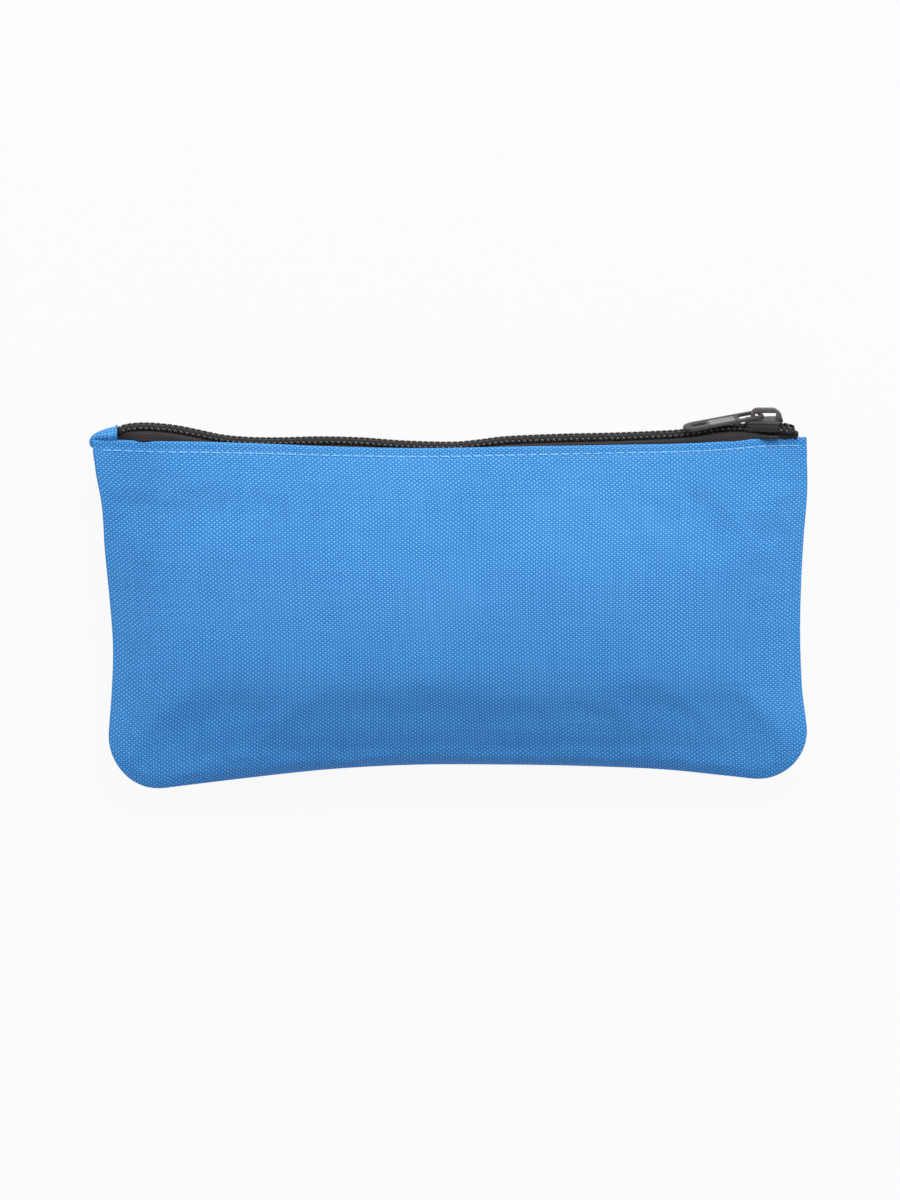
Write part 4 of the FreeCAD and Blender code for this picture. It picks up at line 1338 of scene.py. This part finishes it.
# %% End tab
TAB_WALL, TAB_ROWS = 0.35, 26
TAB_FOLD, TAB_FOLDED = -100.55, 0.3
TAB_SHOULDER = [(0.92, 0.41), (1, 0.57), (0.78, 0.91), (0.3, 1)]
THINNEST_NECK, HEM_HEIGHT = 0.08, 52.1
tab_top = curve_through([
    (-109.2, 52.0), (-109.0, 52.7), (-108.5, 53.4), (-107.8, 54.0), (-107.0, 54.5), (-105.2, 55.2),
    (-103.2, 55.85), (-101.9, 56.1), (-101.5, 56.2), (-101.2, 56.6), (-100.8, 56.85), (-100.4, 56.8),
])
tab_low = curve_through([
    (-109.2, 51.3), (-109.0, 50.7), (-108.5, 50.2), (-107.8, 50.1), (-107.0, 50.4), (-105.2, 50.9),
    (-100.4, 51.1),
])
tab_half = curve_through([
    (-109.2, 0.1), (-109.05, 0.75), (-108.6, 1.4), (-107.8, 1.8), (-107.2, 2.05), (-105.2, 2.9),
    (-103.2, 3.5), (-101.9, 3.65), (-101.5, 3.7), (-101.2, 4.05), (-100.8, 4.25), (-100.4, 4.2),
])
tab_neck = curve_through([
    (-109.2, 0.1), (-109.0, 0.6), (-108.5, 1.0), (-107.5, 0.9), (-104, 1.3), (-100.4, 2.1),
])
TAB_STATIONS = [
    (-109.2, 0), (-109.12, 0), (-108.95, 0), (-108.65, 0), (-108.2, 0), (-107.7, 0), (-107.1, 0),
    (-106.4, 0), (-105.6, 0), (-104.8, 0), (-104, 0), (-103.2, 0), (-102.5, 0), (-101.9, 0),
    (-101.55, 0), (-101.3, 0), (-101.0, 0), (-100.7, 0.12), (-100.55, 0.4), (-100.7, 0.7),
    (-101.1, 0.85), (-102.5, 0.85),
]


def tab_section(x, inset):
    """Arch across the zip at x, as (distance from the seam plane, height) from the front to the back."""
    wide, top, low = tab_half(x) - inset, tab_top(x) - inset, tab_low(x)
    neck = max(tab_neck(x) - inset, THINNEST_NECK)
    hem = min(max(low + 0.4, HEM_HEIGHT), (low + top) / 2)
    half = [(neck, low), (neck, hem)]
    half += [(wide * out, mixed_by(up, hem, top)) for out, up in TAB_SHOULDER]
    corners = np.array(half + [(-z, y) for z, y in half[::-1]]).T
    run = run_along(*corners)
    at = np.linspace(0, run[-1], TAB_ROWS + 1)
    return np.interp(at, run, corners[0]), np.interp(at, run, corners[1]), at


tab_places, tab_cut = [], []
for x, inset in TAB_STATIONS:
    z, y, run = tab_section(x, inset)
    tab_places.append(np.stack([np.full_like(z, x), y, seam_z + z], axis=1))
    along = x if inset < TAB_FOLDED else 2 * TAB_FOLD - x
    tab_cut.append(np.stack([along + run, along - run], axis=1) * math.sqrt(0.5))
end_tab = laid_grid("end_tab", np.array(tab_places), np.array(tab_cut))
modify(end_tab, "SUBSURF", levels=1, render_levels=1)
outer_side_out(end_tab, FRONT)
end_tab.data.materials.append(case_fabric)
modify(end_tab, "SOLIDIFY", thickness=TAB_WALL * MM, offset=-1)
smooth_shading(end_tab, 60)
print("end tab", len(end_tab.data.polygons), "faces")

# %% Stitch on the end tab
TAB_STITCH_X, TAB_STITCH_LOW, TAB_STITCH_SHARE = -102.9, 52.7, 0.85


def tab_stitch(name, side):
    """Upright stitch on one face of the end tab."""
    stitch = one_stitch(name)
    along, aside, out = places_of(stitch).T
    y = TAB_STITCH_LOW + TAB_STITCH_SHARE * along
    z = [height_over(end_tab, TAB_STITCH_X, at, side) for at in y] + side * out
    set_places(stitch, np.stack([TAB_STITCH_X - aside, y, z], axis=1))
    return finished(stitch, blue_thread)


tab_stitch_front = tab_stitch("tab_stitch_front", FRONT)
tab_stitch_back = tab_stitch("tab_stitch_back", BACK)

# %% [markdown]
# ## Slider
# The slider is one small casting: two plates joined by a wedge, side walls that press the coils
# together, and an arch that holds the puller. It is drawn lying flat, with X along the chain and Z away
# from it, and turned on to the zip at the end. Each part starts as a block that is cut and shaped.

# %% Metal finishes
CROWN_BELOW_TOP, CROWN_BLEND = 4.3, 0.6


def painted_metal(name, dark, worn, crown_y=None):
    """Black paint on a casting, thinner and rubbed on the arch above crown_y."""
    paint = Paint(name)
    x, y, z = paint.coordinates()
    grain = paint.noise(x * 3.2, y * 3.2, z * 3.2, detail=3.0)
    patches = paint.noise(x * 0.7, y * 0.7, z * 0.7)
    rubbed = grain * 0.5 + patches * 0.5 - 0.25
    if crown_y is not None:
        reach = {0: y, 1: crown_y - CROWN_BLEND, 2: crown_y + CROWN_BLEND}
        above = paint.node("ShaderNodeMapRange", sockets=reach)
        rubbed = rubbed * (above * 0.8 + 0.2) + above * 0.38
    normal = paint.bump(grain, 0.05)
    return paint.finish(
        Base_Color=paint.tint(rubbed * 1.4, dark, worn), Roughness=0.36 + grain * 0.2,
        Normal=normal, Metallic=0.15, Specular_IOR_Level=0.28,
    )


slider_metal = painted_metal(
    "slider_metal", (0.010, 0.009, 0.010, 1), (0.088, 0.083, 0.088, 1), slider_high.y - CROWN_BELOW_TOP
)
puller_metal = painted_metal("puller_metal", (0.02, 0.019, 0.021, 1), (0.085, 0.081, 0.088, 1))
# The puller's recessed panel is painted a lighter grey: a painted reflection of the light it catches at
# a glancing angle.
puller_panel = painted_metal("puller_panel", (0.13, 0.126, 0.135, 1), (0.34, 0.33, 0.35, 1))
print("the arch is rubbed above", round(slider_high.y - CROWN_BELOW_TOP, 1), "mm")

# %% Plates, walls and wedge
SLIDER_Y = 56.05
HALF_SLIDER, PLATE, PLATE_CORNER = 5.2, 1.2, 1.3
NARROW, WIDE = 3.9, 5.0
THROAT, MOUTH_OF_SLIDER = -1.2, 2.6
CHANNEL_HALF = 1.45
SLIDER_WALL, WALL_LOW, WALL_HIGH, WALL_SHORT = 0.75, -0.45, 1.6, 0.5
WEDGE_TIP, WEDGE_END, WEDGE_KNEE, WEDGE_HALF, WEDGE_SHARP = 0.6, 4.8, 3.4, 1.2, 0.05
SUNK, NEAR = 0.3, 0.1


def block(name, low, high):
    """Cube between two corners, in millimetres."""
    low, high = Vector(low), Vector(high)
    return primitive(
        name, bpy.ops.mesh.primitive_cube_add, size=1, location=(low + high) / 2 * MM,
        scale=(high - low) * MM,
    )


def plate(name, low, high):
    """Plate of the slider: wide in front, narrow behind, with rounded corners."""
    obj = block(name, (-HALF_SLIDER, -WIDE, low), (HALF_SLIDER, WIDE, high))
    cut_across(obj, THROAT, MOUTH_OF_SLIDER)
    edit(obj)
    pick("verts", lambda vertex: vertex.co.x / MM < THROAT + NEAR)
    bpy.ops.transform.resize(value=(1, NARROW / WIDE, 1), center_override=(0, 0, 0))
    done()
    round_corners(obj, PLATE_CORNER, lambda place: abs(place.x) > HALF_SLIDER - NEAR, 4)
    return obj


def wall(name, side):
    """Side wall between the plates, following their outline on one side."""
    end = HALF_SLIDER - WALL_SHORT
    obj = block(name, (-end, NARROW - SLIDER_WALL, WALL_LOW), (end, NARROW, WALL_HIGH))
    cut_across(obj, THROAT, MOUTH_OF_SLIDER)
    edit(obj)
    pick("verts", lambda vertex: vertex.co.x / MM > MOUTH_OF_SLIDER - NEAR)
    bpy.ops.transform.translate(value=(0, (WIDE - NARROW) * MM, 0))
    bpy.ops.mesh.select_all(action="SELECT")
    bpy.ops.transform.resize(value=(1, side, 1), center_override=(0, 0, 0))
    done()
    return face_outwards(obj)


def wedge(name):
    """Wedge that parts the coils: a block with a sharp tip."""
    deep = CHANNEL_HALF + SUNK
    obj = block(name, (WEDGE_TIP, -WEDGE_HALF, -deep), (WEDGE_END, WEDGE_HALF, deep))
    cut_across(obj, WEDGE_KNEE)
    edit(obj)
    pick("verts", lambda vertex: vertex.co.x / MM < WEDGE_TIP + NEAR)
    bpy.ops.transform.resize(value=(1, WEDGE_SHARP, 1), center_override=(0, 0, 0))
    return done()


slider_parts = [
    plate("top_plate", CHANNEL_HALF, CHANNEL_HALF + PLATE),
    plate("bottom_plate", -CHANNEL_HALF - PLATE, -CHANNEL_HALF),
    wall("near_wall", 1),
    wall("far_wall", -1),
    wedge("wedge"),
]
print(len(slider_parts), "parts of the slider before its arch")

# %% Arch over the slider
CROWN_BACK, CROWN_FRONT, CROWN_HALF, CROWN_FOOT, CROWN_TOP = -3.5, 6.3, 1.0, 1.9, 6.1
CROWN_CORNER, CROWN_BAR = 2.1, 1.4
INSIDE_BAR, SILL = CROWN_BAR - 0.2, 2.2
FRONT_FROM, FRONT_BLEND = 2.2, 1.4
OPENING_LEAN, FOOT_OUT, TOP_BACK = 0.9, 0.1, 1.1
TOP_EASE, STEEPNESS = 0.4, 1.5


def arch(name):
    """Rounded arch: a block with two round corners, inset from both sides and opened by a bridge."""
    obj = block(name, (CROWN_BACK, -CROWN_HALF, CROWN_FOOT), (CROWN_FRONT, CROWN_HALF, CROWN_TOP))
    edit(obj, "EDGE")
    pick("edges", lambda edge: abs(middle(edge).y) < NEAR and middle(edge).z > CROWN_TOP - NEAR)
    bpy.ops.mesh.bevel(offset=CROWN_CORNER * MM, segments=6)
    done()
    edit(obj, "FACE")
    pick("faces", lambda face: abs(face.normal.y) > 0.9)
    bpy.ops.mesh.inset(thickness=CROWN_BAR * MM, use_individual=True)
    bpy.ops.mesh.delete(type="FACE")
    done()
    edit(obj, "EDGE")
    pick("edges", lambda edge: edge.is_boundary)
    bpy.ops.mesh.bridge_edge_loops()
    done()
    x, y, z = places_of(obj).T
    inner = (x > CROWN_BACK + INSIDE_BAR) & (x < CROWN_FRONT - INSIDE_BAR)
    inner &= (z > CROWN_FOOT + INSIDE_BAR / 2) & (z < CROWN_TOP - INSIDE_BAR)
    z = np.where(inner & (z < CROWN_FOOT + CROWN_BAR + NEAR), SILL, z)
    front_foot = smooth((x - FRONT_FROM) / FRONT_BLEND)
    lower = np.clip((CROWN_TOP - TOP_EASE - z) / (CROWN_TOP - SILL), 0, 1)
    lean = np.where(inner, -OPENING_LEAN * smooth(lower * STEEPNESS), FOOT_OUT * lower)
    x = x + lean * front_foot
    x = x - np.where(~inner & (x > FRONT_FROM), TOP_BACK * (1 - lower) ** STEEPNESS, 0)
    set_places(obj, np.stack([x, y, z], axis=1))
    return face_outwards(obj)


slider_parts.append(arch("arch"))
print("arch", len(slider_parts[-1].data.polygons), "faces")

# %% Join, wear the edges and turn on to the zip


def join(parts, name):
    """Join pieces into the first one."""
    alone(parts[0])
    for part in parts:
        part.select_set(True)
    bpy.ops.object.join()
    return named(parts[0], name)


def worn_edges(obj, width, degrees):
    """Round every edge sharper than an angle."""
    angle = math.radians(degrees)
    modify(obj, "BEVEL", width=width * MM, segments=2, limit_method="ANGLE", angle_limit=angle)
    return smooth_shading(obj, 50)


for part in slider_parts:
    worn_edges(part, 0.28, 35)
slider_cast = join(slider_parts, "slider_cast")
x, y, z = places_of(slider_cast).T
set_places(slider_cast, np.stack([slider_x + x, SLIDER_Y + z, seam_z - y], axis=1))
slider_cast.data.materials.append(slider_metal)
print("slider", len(slider_cast.data.polygons), "faces")

# %% [markdown]
# ## Puller
# The puller is a flat blade with a round tip, an oval hole, a shallow panel and a slot, which leaves two
# rails and a crossbar in the arch. Openings with round ends are easiest to take out of the blade with
# cutters and a Boolean, after which one bevel wears all edges alike.

# %% Blade with its openings
PULLER_TIP, PULLER_HALF, PULLER_THICK, CROSSBAR = -23.9, 3.5, 0.45, 0.7
SLOT_END, SLOT_HALF, SLOT_CORNER = -6.8, 2.1, 1.1
HOLE_START, HOLE_END, HOLE_HALF = -16.8, -21.4, 1.2
PANEL_START, PANEL_END, PANEL_HALF, PANEL_CORNER, PANEL_DEPTH = -7.9, -15.9, 2.4, 0.6, 0.22
JUST_UNDER, THROUGH = 0.02, 2
panel_z = PULLER_THICK - PANEL_DEPTH


def take_out(obj, start, end, half, low, corner, segments):
    """Cut an opening from start to end out of the blade, down to low, with rounded corners."""
    cutter = block("cutter", (end, -half, low), (start, half, THROUGH))
    round_corners(cutter, corner, lambda place: place.x < 0, segments)
    modify(obj, "BOOLEAN", operation="DIFFERENCE", solver="EXACT", object=cutter)
    bpy.data.objects.remove(cutter)


puller = block("puller", (PULLER_TIP, -PULLER_HALF, -PULLER_THICK), (0, PULLER_HALF, PULLER_THICK))
round_corners(puller, PULLER_HALF - JUST_UNDER, lambda place: place.x < PULLER_TIP + NEAR, 12)
take_out(puller, THROUGH, SLOT_END, SLOT_HALF, -THROUGH, SLOT_CORNER, 6)
take_out(puller, HOLE_START, HOLE_END, HOLE_HALF, -THROUGH, HOLE_HALF - JUST_UNDER, 8)
take_out(puller, PANEL_START, PANEL_END, PANEL_HALF, panel_z, PANEL_CORNER, 4)
worn_edges(puller, 0.24, 40)
print("blade", len(puller.data.polygons), "faces")

# %% Crossbar, finish and tilt
PULLER_YAW, PULLER_PITCH, PULLER_ROLL = 8, 9, 5
puller.data.materials.append(puller_metal)
puller.data.materials.append(puller_panel)
# Faces of the panel's floor take the painted reflection material.
for face in puller.data.polygons:
    x, y, z = face.center / MM
    in_panel = PANEL_END < x < PANEL_START and abs(y) < PANEL_HALF
    face.material_index = 1 if in_panel and abs(z - panel_z) < JUST_UNDER else 0
crossbar = primitive(
    "crossbar", bpy.ops.mesh.primitive_cylinder_add, vertices=20, radius=CROSSBAR * MM,
    depth=2 * PULLER_HALF * MM, rotation=(math.pi / 2, 0, 0),
)
worn_edges(crossbar, 0.2, 40)
crossbar.data.materials.append(puller_metal)
puller = join([puller, crossbar], "puller")
turned = (
    Matrix.Rotation(-math.pi / 2, 3, "X")
    @ Matrix.Rotation(math.radians(PULLER_YAW), 3, "Z")
    @ Matrix.Rotation(math.radians(-PULLER_PITCH), 3, "Y")
)
print("puller", len(puller.data.polygons), "faces, axis error",
      round((turned @ Vector((0, 1, 0)) - puller_axis).length, 5))
turned = turned @ Matrix.Rotation(math.radians(PULLER_ROLL), 3, "X")
set_places(puller, places_of(puller) @ np.array(turned).T + np.array(puller_pivot))

# %% [markdown]
# ## What moves, and what each piece stands for
# Back pieces ride on the back half. Front pieces only have their placement baked in. Each piece
# names the plain solid that it stands for, so that the solid is hidden but still counts for contact.

# %% Bodies, solids and finishes
STANDS_FOR = {
    "front_panel": ("case_fabric", front_panel_left, front_panel_right),
    "front_topstitch": ("sewing_thread", front_topstitch_left, front_topstitch_right),
    "front_tape": ("zip_tape", front_tape_left, front_tape_right),
    "front_coil": ("coil_nylon", front_coil_left, front_coil_right),
    "front_filler_cord": ("cord", front_cord_left, front_cord_right),
    "front_coil_stitching": ("coil_thread", front_coil_thread_left, front_coil_thread_right),
    "back_panel": ("case_fabric", back_cloth),
    "back_topstitch": ("sewing_thread", back_row),
    "back_tape": ("zip_tape", back_tape_whole),
    "back_coil": ("coil_nylon", back_coil_whole),
    "back_filler_cord": ("cord", back_cord_whole),
    "back_coil_stitching": ("coil_thread", back_coil_thread),
    "left_end_tab": ("case_fabric", end_tab),
    "end_tab_stitch": ("sewing_thread", tab_stitch_front, tab_stitch_back),
    "left_seam_thread": ("sewing_thread", left_seam),
    "right_seam_thread": ("sewing_thread", right_seam),
    "bottom_seam_thread": ("sewing_thread", bottom_seam),
    "slider_body": ("slider_metal", slider_cast),
    "pull_tab": ("puller_metal", puller),
}
RIDES = {"slider_body": "slider", "pull_tab": "puller"}
for node, (finish, *pieces) in STANDS_FOR.items():
    for piece in pieces:
        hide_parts(node)
        if node.startswith("front"):
            bend_with_mouth(piece)
        else:
            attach(piece, RIDES.get(node, "back_half"))
bpy.data.objects.remove(front_cloth)
print(len(STANDS_FOR), "solids replaced")

# %% [markdown]
# ## Sheets
# Panels, tapes and end tab are cut from flat cloth. The size of each cut is listed and printed: what
# the case shows plus what is turned in at seams and mouth.

# %% Cut sizes
TAPE_CUT, TAB_CUT = 14, 12
front_run, back_run = roll_run(FRONT_ROLL)[-1], roll_run(BACK_ROLL)[-1]
half_cut = half_length + front_run
front_high, back_high = [CUT_HEIGHT + hem_run[-1] + run for run in (front_run, back_run)]
CUTS = [
    (front_panel_left, half_cut, front_high, "stretched", "back_panel"),
    (front_panel_right, half_cut, front_high, "stretched", "back_panel"),
    (back_cloth, 2 * (half_length + back_run), back_high, "stretched", None),
    (front_tape_left, -ZIP_START, TAPE_CUT, "folded", "front_panel"),
    (front_tape_right, ZIP_END, TAPE_CUT, "folded", "front_panel"),
    (back_tape_whole, ZIP_END - ZIP_START, TAPE_CUT, "folded", "back_panel"),
    (end_tab, TAB_CUT, TAB_CUT, "folded", "back_panel"),
]
for piece, wide, long, held, under in CUTS:
    wide * MM
    long * MM
    print(piece.name, "cut", round(wide, 1), "x", round(long, 1), "mm")

# %% [markdown]
# ## Print the sizes and finish
# The dressed case must keep the frame's size, so both boxes are printed.

# %% Finish
boxes = {"frame": frame_box, "visual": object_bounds()}
for name, (low, high) in boxes.items():
    print(name, [round((b - a) / MM, 1) for a, b in zip(low, high)], "mm")
